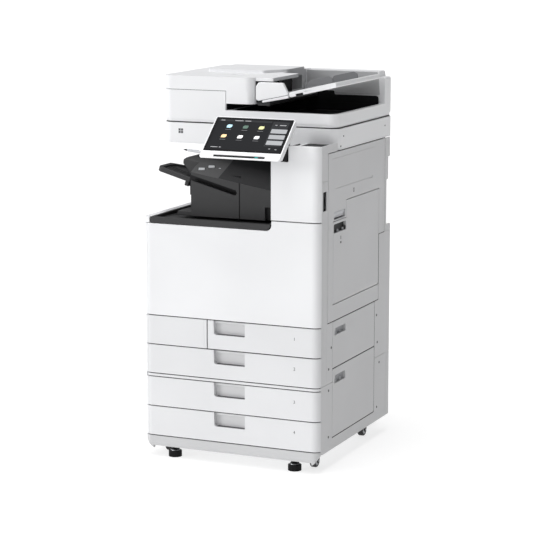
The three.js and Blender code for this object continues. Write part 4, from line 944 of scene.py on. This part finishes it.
# ---- Delivery tray and finisher -----------------------------------------------------------------------
def delivery_tray():
    x0, x1, y0, y1, z0, z1 = span("delivery_tray")
    slab = prism("output_tray", "z", front_plan(x0, x1, y0, y1, 6, 6, right=False), z0, z1)
    fillet = 17
    arc = ellipse_arc(x1 - fillet, z0 + fillet, fillet, fillet, 270, 360, 8)
    corner = prism("corner", "y", [*arc, (x1 + 2, z0 + fillet), (x1 + 2, z0 - 2), (x1 - fillet, z0 - 2)],
                   y0 - 1, 13)
    well = box("well", x0 + 9, x1 + 1, 14, 538, z0 + 7.5, z1 + 1)
    post = box("post", x0 - 2, 62, 537.6, y1 + 1, z0 - 1, z1 + 1)
    cut_each(slab, corner, well, post)
    dress(slab, "cabinet", CHARCOAL, ["delivery_tray"], bevel=1.6, segments=3)
    ribs = [(x0 + 14, 128, y, y + 3, z0 + 7, z0 + 9) for y in range(40, 530, 28)]
    strips("output_tray_ribs", ribs, "cabinet", CHARCOAL, 0.6)
    # Black strip on the tray floor under the finisher's front: painted shadow.
    shadow = [(129, x1, 15, 55, z0 + 7.2, z0 + 7.9)]
    strips("output_tray_painted_shadow", shadow, "cabinet", BLACK)


def finisher():
    x0, x1, y0, y1, z0, z1 = 129.5, *span("finisher_body")[1:]
    outline = rounded([(x0, z0), (x1, z0), (x1, z1 - 6), (x1 - 90, z1), (x0 - 50, z1), (x0 - 50, 868),
                       (x0 - 16, 833),
                       (x0, 833)], [0, 0, 8, 20, 14, 8, 6, 0], 5)
    block = prism("finisher_case", "y", outline, y0, y1)
    a, b, c = Vector((137, y0, 850)), Vector((384, y0, 809)), Vector((137, 138, 884))
    normal = (b - a).cross(c - a).normalized()
    along = (b - a).normalized()
    across = normal.cross(along)
    far = 900
    base = [a + along * s * far + across * t * far for s, t in ((-1, -1), (1, -1), (1, 1), (-1, 1))]
    cut(block, thickened("slope", base, normal * far))
    layer = thickened("layer", base, normal * 0.4)
    # Black plate laid on the sloping top: painted shadow of the control panel above.
    slope_shadow_plate = prism("finisher_slope_painted_shadow", "y", [(208, z0), (x1 - 1.5, z0), (x1 - 1.5, z1 - 7.5),
                                                    (x1 - 90, z1 - 1.5),
                                                    (222, z1 - 1.5)], y0 + 1.5, y1)
    combine(slope_shadow_plate, "INTERSECT", [layer])
    dress(slope_shadow_plate, "finisher", BLACK, bevel=0)
    corner = box("corner", x0 - 51, x0, y0 - 1, 112, 830, z1 + 1)
    round_left = prism("round", "y", [(x0 - 1, 838), *ellipse_arc(x0 + 22, 862, 22, 24, 180, 90, 8),
                                      (x0 + 22, 900), (x0 - 1, 900)], y0 - 1, 112)
    cut_each(block, corner, round_left)
    slot = prism("slot", "y", rectangle(-85, 85, -8, 8, 7.9, 6), y0 - 1, 88)
    turn(slot, (196, 0, 817), 14.8, "Y")
    exit_mouth = box("exit", 90, 175, 140, 470, 833, 853, 3, "y")
    notch = box("notch", 368, 388, y0 - 1, y0 + 8, z0 - 1, 760, 3, "y")
    seam = box("seam", 285.3, 288.7, y0 - 1, y0 + 3.5, z0 - 1, 845)
    aim = normal.to_track_quat("Z", "Y").to_matrix().to_4x4()
    wells = [move(box("well", -10, 10, -6.6, 6.6, -9, 6), middle_of(f"finisher_key_{i}"),
                  aim) for i in (1, 2)]
    cut_each(block, slot, exit_mouth, notch, seam)
    cut(block, *wells)
    dress(block, "finisher", CHARCOAL, ["finisher_body"], bevel=1.8, segments=3)
    # Black plates at the back of the staple slot and of the notch: painted shade in these recesses.
    slot_shade = [(114, 280, 86, 87.5, 780, 844)]
    strips("staple_slot_painted_shade", slot_shade, "finisher", BLACK)
    strips("finisher_notch_painted_shade", [(368.5, 387.5, y0 + 7.2, y0 + 7.8, z0 + 0.5, 759)], "finisher", BLACK)
    foot = box("finisher_foot", 85, x0 + 0.5, y0, 500, z0, z0 + 13, 2, "y")
    dress(foot, "finisher", CHARCOAL, bevel=1.5, segments=3)
    rollers("stack_exit_rollers", "finisher", 8, 24, range(170, 411, 60), 133, 843, 28, 0.6)
    dress(rod("stack_exit_shaft", "y", 3, 142, 468, 133, 843, 20), "finisher", CASTER_STEEL, bevel=0)
    for i in (1, 2):
        key = box(f"staple_key_cap_{i}", -9, 9, -6, 6, -3, 3, 2.5)
        move(key, middle_of(f"finisher_key_{i}"), aim)
        dress(key, f"staple_key_{i}", KEY_GREY, [f"finisher_key_{i}"], bevel=0.9, segments=3)
    lamp = box("finisher_lamp", -3, 3, -1.5, 1.5, -0.6, 0.5, 1)
    move(lamp, a + along * 62 + across * 52, aim)
    dress(lamp, "finisher", SOFT_MARK, bevel=0.2)


def stack_tray():
    slope = (106, 0, 827), 15.7, "Y"
    outline = rounded([(0, 106), (0, 330), (-54, 330), (-73, 230), (-108, 202), (-114, 192), (-114, 124),
                       (-110, 112),
                       (-100, 106)], [2, 4, 10, 30, 10, 6, 10, 6, 4], 4)
    bed = prism("stack_tray_bed", "z", outline, -14, 0)
    hollow = rounded([(-8, 120), (-8, 322), (-46, 322), (-62, 226), (-99, 194), (-103, 120)],
                     [3, 4, 8, 20, 8, 8], 4)
    cut(bed, prism("hollow", "z", hollow, -5, 1))
    dress(turn(bed, *slope), "stack", CHARCOAL, ["stack_tray"], bevel=1.4, segments=3)
    places = [(-98, -10, y, y + 3, -6, -3.2) for y in (136, 152, 168)]
    places += [(-44, -10, y, y + 3, -6, -3.2) for y in (200, 224, 248, 272, 296)]
    ribs = boxes("stack_tray_ribs", places)
    dress(turn(ribs, *slope), "stack", CHARCOAL, bevel=0.6)
    under = join(box("stack_tray_carriage", -20, 22, 150, 310, -13.8, -3.2, 3),
                 box("rib", -16, -2, 108, 150, -28, -13, 4))
    dress(turn(under, *slope), "stack", CHARCOAL, bevel=0.8)


# ---- Reader -------------------------------------------------------------------------------------------
def reader():
    x0, x1, y0, y1, z0, z1 = span("reader_housing")
    gx0, gx1, gy0, gy1, _, _ = span("platen_glass")
    shell = prism("reader_case", "z", front_plan(x0, x1, y0, y1, 30, 30), z0, z1)
    hollow = box("hollow", x0 + 12, x1 - 12, y0 + 18, y1 - 12, z0 + 6, z1 - 6)
    seat = box("seat", gx0 - 0.4, gx1 + 0.4, gy0 - 0.4, gy1 + 0.4, z1 - 4, z1 + 1, 2)
    through = box("through", gx0 + 6, gx1 - 6, gy0 + 6, gy1 - 6, z1 - 8, z1 + 1)
    cut_each(shell, hollow, seat, through)
    seam = prism("seam", "z", front_plan(x0 - 3, x1 + 3, y0 - 3, y1 + 3, 33, 33), z0 + 3.2, z0 + 4.2)
    core = prism("core", "z", front_plan(x0 + 0.8, x1 - 0.8, y0 + 0.8, y1 - 0.8, 29, 29), z0, z0 + 9)
    cut(seam, core)
    cut(shell, seam)
    dress(shell, "cabinet", WHITE, ["reader_housing"], bevel=2.6, segments=4)
    dress(box("platen", gx0, gx1, gy0, gy1, z1 - 3.6, z1 - 0.1, 1.5), "cabinet", GLASS, ["platen_glass"],
          bevel=0.3)
    scale_marks = [(gx0 + 3 + k * 10, gx0 + 3.4 + k * 10, gy0 - 3.6, gy0 - (1 if k % 5 else 0.6), z1 - 0.05,
                    z1 + 0.1) for k in range(46)]
    strips("platen_scale", scale_marks, "cabinet", MARK)
    strip = box("platen_size_strip", gx0 - 9, gx0 - 1, gy0, gy1, z1 - 0.2, z1 + 0.25, 1)
    dress(strip, "cabinet", MARK, bevel=0)
    cx0, cx1, cy0, cy1, cz0, cz1 = span("scan_carriage")
    sled = box("scan_sled", cx0, cx1, cy0, cy1, cz0, cz0 + 26, 3)
    dress(cut(sled, box("gap", cx0 + 20, cx1 - 20, cy0 + 8, cy1 - 8, cz0 + 16, cz0 + 27)), "carriage",
          BLACK,
          ["scan_carriage"], bevel=0.8)
    dress(box("scan_mirror", cx0 + 22, cx0 + 36, cy0 + 9, cy1 - 9, cz0 + 15, cz1, 1), "carriage",
          CASTER_STEEL,
          bevel=0.3)
    dress(rod("scan_lamp", "y", 3, cy0 + 9, cy1 - 9, cx0 + 44, cz0 + 22, 20), "carriage", PAPER, bevel=0)
    dots = [(a, a + 7, y0 - 0.15, y0 + 0.3, b, b + 6.6) for a in (53, 61.2) for b in (956, 963.6)]
    strips("reader_tap_mark", dots, "cabinet", MARK)
    for k, (y, z) in enumerate(((181, 965), (523, 963), (160, 937)), 1):
        screw(f"reader_screw_{k}", "cabinet", WIDTH, y, z, 2.6)


# ---- Document feeder ----------------------------------------------------------------------------------
BLOCK_X, NECK_X, WALL_Y = 208, 300, 520


def feeder_housing():
    x0, x1, y0, y1, z0, z1 = span("feeder_housing")
    rim, seam, cheek_y = 1030, 1087, y0 + 5
    base = prism("feeder_base", "z", front_plan(x0, x1, y0, y1, 30, 30), z0, rim)
    upper = prism("upper", "z", front_plan(x0, BLOCK_X, y0, y1, 30, 30, right=False), rim - 1, seam - 1)
    wall_line = rounded([(BLOCK_X - 1, rim - 1), (x1, rim - 1), (x1, 1110), (548, 1110), (545, z1),
                         (NECK_X + 5, z1),
                         (NECK_X + 5, seam - 1), (BLOCK_X - 1, seam - 1)], [0, 0, 6, 3, 6, 2, 0, 0], 4)
    wall = prism("wall", "y", wall_line, WALL_Y, y1)
    join(base, upper, wall)
    well = prism("well", "z", front_plan(BLOCK_X + 9, x1 - 15, y0 + 14, WALL_Y - 1, 30, 30), z0 + 14,
                 rim + 1)
    bay = box("bay", 60, BLOCK_X + 1, 170, 505, 1040, seam)
    step = prism("step", "z", front_plan(x0 - 4, x1 + 4, y0 - 4, y1 + 4, 34, 34), z0 - 1, z0 + 11)
    core = prism("core", "z", front_plan(x0 + 3.5, x1 - 3.5, y0 + 3.5, y1 + 5, 27, 27), z0 - 2, z0 + 15)
    cut(step, core)
    cut_each(base, well, bay, step)
    dress(base, "feeder", WHITE, ["feeder_housing"], bevel=2.4, segments=4)
    # Black ring in the shut line above the reader: painted shade that darkens the gap.
    gap_shade_ring = prism("feeder_gap_painted_shade", "z", front_plan(x0 + 2, x1 - 2, y0 + 2, y1 - 2, 28, 28), z0 - 0.1,
                   z0 + 2.4)
    cut(gap_shade_ring, prism("inside", "z", front_plan(x0 + 3.6, x1 - 3.6, y0 + 3.6, y1 - 2.1, 27, 27), z0 - 1,
                      z0 + 3))
    dress(gap_shade_ring, "feeder", BLACK, bevel=0)
    back_lining = rounded([(BLOCK_X + 10, rim - 8), (545, rim - 8), (545, 1053), (400, 1053), (400, 1065),
                           (BLOCK_X + 10, 1065)], [0, 0, 9, 4, 4, 0], 5)
    dress(prism("document_output_back", "y", back_lining, WALL_Y - 2, WALL_Y + 0.2), "feeder", BLACK,
          bevel=0)
    # Darker plate on the rear wall's front face: painted shade of the wall standing in shadow.
    wall_shade_outline = rounded([(NECK_X + 8, 1068), (398, 1068), (404, 1056), (549, 1056), (545, 1107),
                         (541, z1 - 2.5),
                         (NECK_X + 8, z1 - 2.5)], [2, 4, 4, 3, 3, 3, 2], 3)
    dress(prism("feeder_rear_wall_painted_shade", "y", wall_shade_outline, WALL_Y - 0.9, WALL_Y + 0.2), "feeder", WALL_SHADE_GREY,
          bevel=0.3)
    # Black ring in the lid's shut line: painted shade that darkens the gap.
    gap_shade_piece = prism("feeder_lid_gap_painted_shade", "z", front_plan(x0 + 2.5, BLOCK_X - 1, y0 + 2.5, 500, 28, 28,
                                                    right=False),
                 seam - 1.05, seam + 0.35)
    cut(gap_shade_piece, box("inside", x0 + 6, BLOCK_X - 4, y0 + 6, 501, seam - 2, seam + 1, 12))
    dress(gap_shade_piece, "feeder", BLACK, bevel=0)
    dress(box("document_output_side", BLOCK_X - 0.2, BLOCK_X + 0.8, y0 + 9, WALL_Y, rim - 2, 1050, 0),
          "feeder",
          BLACK, bevel=0)
    floor = prism("document_output_floor", "z", front_plan(BLOCK_X + 9.5, x1 - 15.5, y0 + 14.5,
                                                           WALL_Y - 1.5, 29, 29),
                  z0 + 13.5, z0 + 15.5)
    dress(floor, "feeder", BLACK, bevel=0.4)
    side_line = front_plan(BLOCK_X + 9.3, x1 - 15.3, y0 + 14.3, WALL_Y - 1.2, 29.5, 29.5)
    band = prism("document_output_lining", "z", side_line, z0 + 15, rim - 1.5)
    inner = prism("inner", "z", front_plan(BLOCK_X + 10.8, x1 - 16.8, y0 + 15.8, WALL_Y - 2.8, 28.5,
                                           28.5), z0 + 14,
                  rim)
    dress(cut(band, inner), "feeder", BLACK, bevel=0)
    cheek = rounded([(NECK_X + 5, 1060), (404, 1081), (408, 1084), (391, 1116), (NECK_X + 14, 1116),
                     (NECK_X + 5, 1104)], [8, 2, 3, 8, 8, 4], 5)
    plate = prism("feeder_cheek", "y", cheek, cheek_y - 3, cheek_y + 9)
    dress(plate, "feeder", WHITE, bevel=3, segments=4)
    lip = prism("document_exit_lip", "y", rounded([(326, 1056.5), (408.5, 1072.5), (408.5, 1080.6),
                                                   (326, 1063)], 2, 3),
                cheek_y - 4, cheek_y + 7)
    dress(lip, "feeder", WHITE, bevel=0.8)
    dress(box("document_exit_corner", NECK_X + 5, 325, cheek_y - 1, cheek_y + 7, 1056.5, 1062.5, 1.5,
              "y"), "feeder",
          BLACK, bevel=0.3)
    guide = box("document_exit_guide", NECK_X + 6, 345, cheek_y + 8, WALL_Y + 1, 1047, 1057, 3, "y")
    dress(guide, "feeder", CHARCOAL, bevel=0.8)
    rollers("document_exit_rollers", "feeder", 7, 20, (190, 270, 350, 430), 322, 1046, 24, 0.5)
    backing = box("reading_backing_sheet", 44, 496, 176, 494, z0 - 0.7, z0 + 0.2, 6)
    dress(backing, "feeder", PAPER, bevel=0.2)
    for k, x in enumerate((90, 480), 1):
        dress(box(f"feeder_hinge_cover_{k}", x - 26, x + 26, y1 - 1, y1 + 5, z0 + 3, z0 + 34, 4, "y"),
              "feeder",
              GREY, bevel=1.2, segments=3)
    bays = [(70, 198, y, y + 3, 1041, 1052) for y in range(190, 500, 30)]
    strips("feeder_bay_ribs", bays, "feeder", BLACK, 0.5)
    rollers("feed_path_rollers", "feeder", 11, 26, (230, 330, 430), 150, 1056, 28, 0.6)


def feeder_top():
    x0, x1, y0, y1, z0, _ = span("feeder_top_cover")
    seam, top, crown, cheek_y = 1087.5, 1128, 1136, y0 + 5
    lid = prism("feeder_lid", "z", front_plan(x0, NECK_X, y0, WALL_Y - 2, 30, 30), seam, top)
    rear = box("rear", x0, NECK_X, WALL_Y - 4, y1, seam, top)
    neck = prism("neck", "z", front_plan(BLOCK_X + 2, NECK_X, y0, WALL_Y - 2, 25, 30, left=False), z0,
                 seam + 1)
    visor = prism("visor", "z", rounded([(NECK_X - 2, cheek_y + 12), (x1, cheek_y + 12), (x1, 347),
                                         (NECK_X - 2, 347)],
                                        [0, 4, 10, 0], 4), 1118, top)
    crown_line = rounded([(66, 312), (253, 312), (NECK_X, 388), (NECK_X, WALL_Y - 2), (66, WALL_Y - 2)],
                         [10, 8, 6, 2, 2], 5)
    crown_block = prism("crown", "z", crown_line, top - 1, crown)
    join(lid, rear, neck, visor, crown_block)
    hollow = box("hollow", x0 + 9, NECK_X - 3, y0 + 30, WALL_Y - 12, seam - 1, top - 5)
    neck_hollow = box("neck_hollow", BLOCK_X + 8, NECK_X - 3, y0 + 30, WALL_Y - 12, z0 + 3, seam + 2)
    mouth = box("mouth", NECK_X - 5, NECK_X + 1, y0 + 40, WALL_Y - 20, 1070, 1112)
    cut_each(lid, hollow, neck_hollow, mouth)
    finger = box("finger", 178, 222, 236, 258, top - 2.5, top + 1, 8)
    thumb = box("thumb", 316, 328, 241, 253, top - 1.2, top + 1, 3)
    cut(lid, finger, thumb)
    dress(lid, "feeder_lid", WHITE, ["feeder_top_cover"], bevel=2.4, segments=4)
    ribs = [(x, x + 2, y0 + 32, WALL_Y - 14, top - 16, top - 4.5) for x in range(40, 290, 32)]
    strips("feeder_lid_ribs", ribs, "feeder_lid", LINER, 0.4)
    # Black plate on the lid's right side under the visor: painted shadow; the gap in it opens onto the
    # mouth.
    entry_shadow = box("feeder_entry_painted_shadow", NECK_X - 0.3, NECK_X + 0.7, cheek_y + 10, 420, 1068, 1117.8)
    dress(cut(entry_shadow, box("gap", NECK_X - 1, NECK_X + 1, cheek_y + 40, 344, 1084, 1108)), "feeder_lid",
          BLACK, bevel=0)
    rollers("pickup_rollers", "feeder_lid", 12, 40, (270, 350), 262, 1090, 32, 0.8)
    dress(rod("pickup_shaft", "y", 3, y0 + 31, WALL_Y - 13, 262, 1090, 20), "feeder_lid", CASTER_STEEL,
          bevel=0)


def document_tray():
    slope = (352, 0, 1064), -13, "Y"
    length, back = 213, 500
    front = READER_Y + 2
    bed = box("document_bed_plate", -3, length - 1, READER_Y + 17, back, 1, 10, 3, "y")
    trough = boxes("trough", [(20, length - 16, READER_Y + 32, back - 8, 8.8, 12)])
    cut(bed, trough)
    tracks = [box("track", 107, 117, y - 85, y + 60, 4, 11) for y in (230, 430)]
    cut(bed, *tracks)
    dress(turn(bed, *slope), "document_bed", BED_GREY, ["document_tray"], bevel=1.2, segments=3)
    band = box("document_tray_band", 62, length, front, READER_Y + 18, -3, 12, 5, "y")
    notch = box("band_notch", 82, 106, front - 1, front + 8, -5, 3.5, 2, "y")
    slot = box("band_slot", 112, 134, front - 1, front + 3, 4, 7, 1, "y")
    cut(band, notch, slot)
    dress(turn(band, *slope), "document_bed", WHITE, bevel=1.8, segments=3)
    catch = box("band_catch", 83, 105, front + 1, front + 8.5, -3.5, 3, 1, "y")
    dress(turn(catch, *slope), "document_bed", BLACK, bevel=0.4)
    end = box("document_tray_end", length - 13, length, READER_Y + 17, back, -3, 12, 4, "y")
    dress(turn(end, *slope), "document_bed", WHITE, bevel=1.4, segments=3)
    hinge = rod("document_tray_pivot", "y", 5, READER_Y + 17, back, 0, 4.5, 28)
    dress(turn(hinge, *slope), "document_bed", GREY, bevel=0.6)
    marks = [(118 + k * 14, 118.8 + k * 14, READER_Y + 40, READER_Y + 52, 8.8, 9.1) for k in range(5)]
    sizes = boxes("paper_size_marks", marks)
    dress(turn(sizes, *slope), "document_bed", MARK, bevel=0)
    for name, y, inward in (("front", 230, -1), ("rear", 430, 1)):
        outline = rounded([(80, 10.4), (167, 10.4), (167, 26), (158, 34), (92, 34), (80, 20)],
                          [1, 1, 4, 5, 6, 3], 4)
        wall = prism(f"paper_guide_wall_{name}", "y", outline, y - 2, y + 2)
        far = y + inward * 26
        shoe = box("shoe", 90, 134, min(y, far), max(y, far), 10.4, 14, 3)
        key = box("key", 107.6, 116.4, y - 8, y + 8, 4.4, 12)
        join(wall, shoe, key)
        dress(turn(wall, *slope), f"guide_{name}", GUIDE_GREY, [f"paper_guide_{name}"], bevel=1, segments=3)
        pads = boxes(f"guide_grip_{name}", [(94 + k * 5, 96 + k * 5, min(y, far) + 3, max(y, far) - 3,
                                             13.8, 15)
                                            for k in range(8)])
        dress(turn(pads, *slope), f"guide_{name}", KEY_GREY, bevel=0.3)


# ---- Control panel ------------------------------------------------------------------------------------
PANEL_PIVOT, PANEL_TILT = (353.6, -92, 918.3), 40.65
PANEL_HALF, PANEL_LENGTH, PANEL_THICK = 125.3, 161.7, 18
SCREEN_HALF, SCREEN_LOW, SCREEN_HIGH = 121, 27, 158


def on_panel(obj, material, bevel=0.0, replaces=(), segments=2, body="panel"):
    turn(obj, PANEL_PIVOT, PANEL_TILT, "X")
    return dress(obj, body, material, replaces, bevel=bevel, segments=segments)


def pen_rod(name, profile):
    """Round rod on the pen's axis; its profile is (radius, length in from the panel's left edge)."""
    u, w, tilt = 25, -9, 7.2
    obj = turned(name, "x", profile, 0, 0, 32)
    return turn(obj, (-PANEL_HALF, u, w), -tilt, "Z")


def panel():
    shell = prism("panel_case", "z", rectangle(-PANEL_HALF, PANEL_HALF, 0, PANEL_LENGTH, 9, 8),
                  -PANEL_THICK, 0)
    pocket = box("pocket", -SCREEN_HALF - 0.4, SCREEN_HALF + 0.4, SCREEN_LOW - 0.4, SCREEN_HIGH + 0.4,
                 -3.4, 1, 3)
    bar = box("bar", -82, 78, 4.5, 13, -3, 1, 2)
    chamfer = prism("chamfer", "x", [(-1, -4), (0, -4), (17, -PANEL_THICK), (17, -PANEL_THICK - 1),
                                     (-1, -PANEL_THICK - 1)],
                    -PANEL_HALF - 1, PANEL_HALF + 1)
    hole = pen_rod("hole", [(0, -15), (4.6, -15), (4.6, 31), (0, 31)])
    cut_each(shell, pocket, bar, chamfer, hole)
    soften(shell, 1.5, 4, 35)
    apply_modifiers(shell)
    dy, dz = 8 - PANEL_PIVOT[1], 946 - PANEL_PIVOT[2]
    c, s = math.cos(math.radians(PANEL_TILT)), math.sin(math.radians(PANEL_TILT))
    u, w = dy * c + dz * s, dz * c - dy * s
    on_panel(shell, PANEL_WHITE, replaces=["control_panel"])
    lug = join(rod("panel_lug", "x", 11, 72, 88, u, w, 40),
               box("lug_body", 72, 88, u - 10, u + 10, w, -PANEL_THICK + 1, 2))
    cut(lug, rod("bore", "x", 4.4, 71, 89, u, w, 24))
    on_panel(lug, BLACK, 0.8)
    back = box("panel_rear_plate", -112, 66, 16, PANEL_LENGTH - 12, -PANEL_THICK - 2.4,
               -PANEL_THICK + 0.5, 10)
    cut(back, *[box("slit", -90, 40, v, v + 2.4, -PANEL_THICK - 4, -PANEL_THICK - 0.8,
                    1) for v in range(96, 136, 7)])
    on_panel(back, LINER, 0.8)
    on_panel(box("panel_bar_strip", -81.4, 77.4, 5, 12.5, -2.9, -1.6, 1.5), BLACK, 0.2)
    on_panel(box("panel_bar_lamp", 47, 57, 6.6, 10.9, -2, -1.1, 1),
             glow("lamp_teal", (0.03, 0.28, 0.26), 0.35), 0.2)
    glass = box("touch_glass", -SCREEN_HALF, SCREEN_HALF, SCREEN_LOW, SCREEN_HIGH, -3, 0, 3)
    on_panel(glass, SCREEN, 0.4, ["touch_screen"])
    display()
    pen = pen_rod("stylus_body", [(0, -50), (3.2, -50), (3.9, -44), (4, -40), (4, 27), (3.6, 28), (0, 28)])
    on_panel(pen, PEN_GREY, body="pen", replaces=["stylus"])
    tip = pen_rod("stylus_tip", [(0, -63), (0.7, -62.6), (1.2, -61), (2.6, -54), (3.2, -50.1), (0, -50.1)])
    on_panel(tip, BLACK, body="pen")
    clip = box("stylus_clip", -PANEL_HALF - 36, -PANEL_HALF - 12, 27, 30.4, -6.2, -4.6, 0.7)
    on_panel(clip, CASTER_STEEL, 0.3, body="pen")


def display():
    """The lit picture on the touch screen: two rows of keys, a column of buttons and status marks."""
    ground = glow("display_ground", (0.012, 0.0125, 0.014), 0.35)
    on_panel(box("display_area", -112, 112, 33, 152, 0.0, 0.15, 1), ground)
    tile = glow("display_tile", (0.026, 0.027, 0.029), 0.3)
    on_panel(box("display_status_bar", -110, 56, 143, 150, 0.15, 0.25, 0.5), tile)
    on_panel(box("display_side_column", 60, 111, 52, 148, 0.15, 0.25, 0.5), tile)
    icons = [(-70.7, 124, (0.42, 0.66, 0.75)), (-19.4, 123, (0.09, 0.14, 0.115)),
             (30.4, 122.5, (0.6, 0.6, 0.3)),
             (-75.5, 85, (0.78, 0.55, 0.3)), (-23.9, 84, (0.75, 0.75, 0.74)), (28.2, 84, (0.68, 0.7, 0.72))]
    for k, (x, u, color) in enumerate(icons, 1):
        outline = rounded([(x - 8, u - 6), (x + 5, u - 6), (x + 8, u - 2), (x + 8, u + 6), (x - 5, u + 6),
                           (x - 8, u + 2)],
                          [2, 1.5, 2, 2, 1.5, 2], 3)
        on_panel(prism(f"display_icon_{k}", "z", outline, 0.15, 0.3), glow(f"icon_color_{k}", color, 0.6))
        on_panel(box(f"display_caption_{k}", x - 9, x + 9, u - 14, u - 12.4, 0.15, 0.25, 0.5),
                 glow(f"caption_color_{k}", (0.12, 0.12, 0.125), 0.6))
    button = glow("display_button", (0.27, 0.275, 0.285), 0.7)
    for k, u in enumerate((111.5, 89, 66.5), 1):
        on_panel(box(f"display_button_{k}", 64, 113, u - 8, u + 8, 0.25, 0.4, 1.2), button)
        on_panel(box(f"display_button_line_{k}", 72, 104, u - 1, u + 1, 0.4, 0.5, 0.5),
                 glow(f"button_line_{k}", (0.3, 0.31, 0.32), 0.5))
    small = glow("display_small", (0.3, 0.3, 0.31), 0.7)
    texts = [(-102, -80, 40), (-76, -70, 40), (78, 84, 42), (98, 104, 40), (-104, -92, 145.5),
             (-60, -34, 145.5),
             (-28, -10, 145.5), (70, 76, 134), (84, 104, 134)]
    for k, (a, b, u) in enumerate(texts, 1):
        on_panel(box(f"display_text_{k}", a, b, u, u + 2.2, 0.25, 0.35, 0.5), small)


# ---- Casters and levelling feet -----------------------------------------------------------------------
def caster(index):
    fork, wheel = f"caster_fork_{index}", f"caster_wheel_{index}"
    wx0, wx1, wy0, wy1, wz0, wz1 = span(wheel)
    x, y, z = (wx0 + wx1) / 2, (wy0 + wy1) / 2, (wz0 + wz1) / 2
    radius, half = (wz1 - wz0) / 2, (wx1 - wx0) / 2
    profile = [(14.5, x - half), (17.5, x - half), (radius - 0.6, x - half + 1.6), (radius, x - half + 3),
               (radius, x + half - 3), (radius - 0.6, x + half - 1.6), (17.5, x + half), (14.5, x + half),
               (14.5, x - half)]
    lathe(f"caster_tyre_{index}", "x", profile, y, z, 48, f"wheel_{index}", RUBBER, [wheel])
    hub = [(3.4, x - half + 2), (12, x - half + 2), (14.6, x - half + 0.5), (14.6, x + half - 0.5),
           (12, x + half - 2),
           (3.4, x + half - 2), (3.4, x - half + 2)]
    lathe(f"caster_hub_{index}", "x", hub, y, z, 40, f"wheel_{index}", LINER)
    fx0, fx1, fy0, _, _, fz1 = span(fork)
    px, py = (fx0 + fx1) / 2, fy0 + 21
    head = [(0, fz1), (20.5, fz1), (21, fz1 - 1), (21, fz1 - 4), (17, fz1 - 5.5), (17, fz1 - 10.5),
            (0, fz1 - 10.5)]
    lathe(f"caster_head_{index}", "z", head, px, py, 48, f"fork_{index}", CASTER_STEEL, [fork])
    outline = rounded([(py - 10, fz1 - 9), (py + 16, fz1 - 9), (y + 8, z + 2), (y + 4, z - 6.8),
                       (y - 4, z - 6.8),
                       (y - 9, z)],
                      [2, 3, 6, 4, 4, 4], 4)
    for k, dx in enumerate((-half - 2.5, half + 2.5), 1):
        dress(prism(f"caster_cheek_{index}_{k}", "x", outline, x + dx - 1.5, x + dx + 1.5), f"fork_{index}",
              BLACK, bevel=0.5)
    axle = [(0, x - 14), (3.6, x - 14), (3.6, x - 12.6), (3, x - 12.6), (3, x + 12.6), (3.6, x + 12.6),
            (3.6, x + 14), (0, x + 14)]
    lathe(f"caster_axle_{index}", "x", axle, y, z, 24, f"fork_{index}", CASTER_STEEL)


def levelling_foot(index):
    node, body = f"levelling_foot_{index}", f"foot_{index}"
    x0, x1, y0, y1, _, top = span(node)
    x, y = (x0 + x1) / 2, (y0 + y1) / 2
    ribs = 30
    knob = []
    for k in range(ribs):
        for part, radius in ((0, 20), (0.5, 20), (0.6, 18.8), (0.9, 18.8)):
            angle = 2 * math.pi * (k + part) / ribs
            knob.append((x + radius * math.cos(angle), y + radius * math.sin(angle)))
    dress(prism(f"foot_knob_{index}", "z", knob, FLOOR_Z, 9), body, BLACK, [node], bevel=0, sharp=20)
    cap = [(0, 8.5), (18.6, 8.5), (17.6, 10.5), (14, 11.5), (13, 15), (12.4, 16), (8.4, 16.4), (8, 20),
           (0, 20)]
    lathe(f"foot_cap_{index}", "z", cap, x, y, 56, body, BLACK)
    ring = [(13.2, 11.2), (14.6, 11.4), (14.2, 12.6), (13.2, 12.6), (13.2, 11.2)]
    lathe(f"foot_ring_{index}", "z", ring, x, y, 56, body, CASTER_STEEL)
    thread = [(0, 19.5)]
    z = 20
    while z < top - 2:
        thread += [(5.2, z), (6, z + 0.7), (5.2, z + 1.4)]
        z += 1.5
    thread += [(5.2, top), (0, top)]
    lathe(f"foot_stem_{index}", "z", thread, x, y, 28, body, CASTER_STEEL, sharp=20)
    collar = [(9, 39), (17, 39), (19, 40.5), (19, 46), (9, 46), (9, 39)]
    lathe(f"foot_collar_{index}", "z", collar, x, y, 48, "cabinet", BLACK)


camera_and_stage()
for index in range(1, 5):
    drawer(index)
waste_cover()
front_door()
base_cover()
shut_lines()
column_cover()
panel_bracket()
right_side_cover()
right_cover()
latch_and_bypass()
access_door("upper_access_door", "access_upper", 384, 405)
access_door("lower_access_door", "access_lower", 239, 263)
left_side_cover()
power_switch()
rear_cover()
power_inlet()
engine()
for index in range(1, 5):
    toner_bottle(index)
delivery_tray()
finisher()
stack_tray()
reader()
feeder_housing()
feeder_top()
document_tray()
panel()
for index in range(1, 5):
    caster(index)
for index in (1, 2):
    levelling_foot(index)
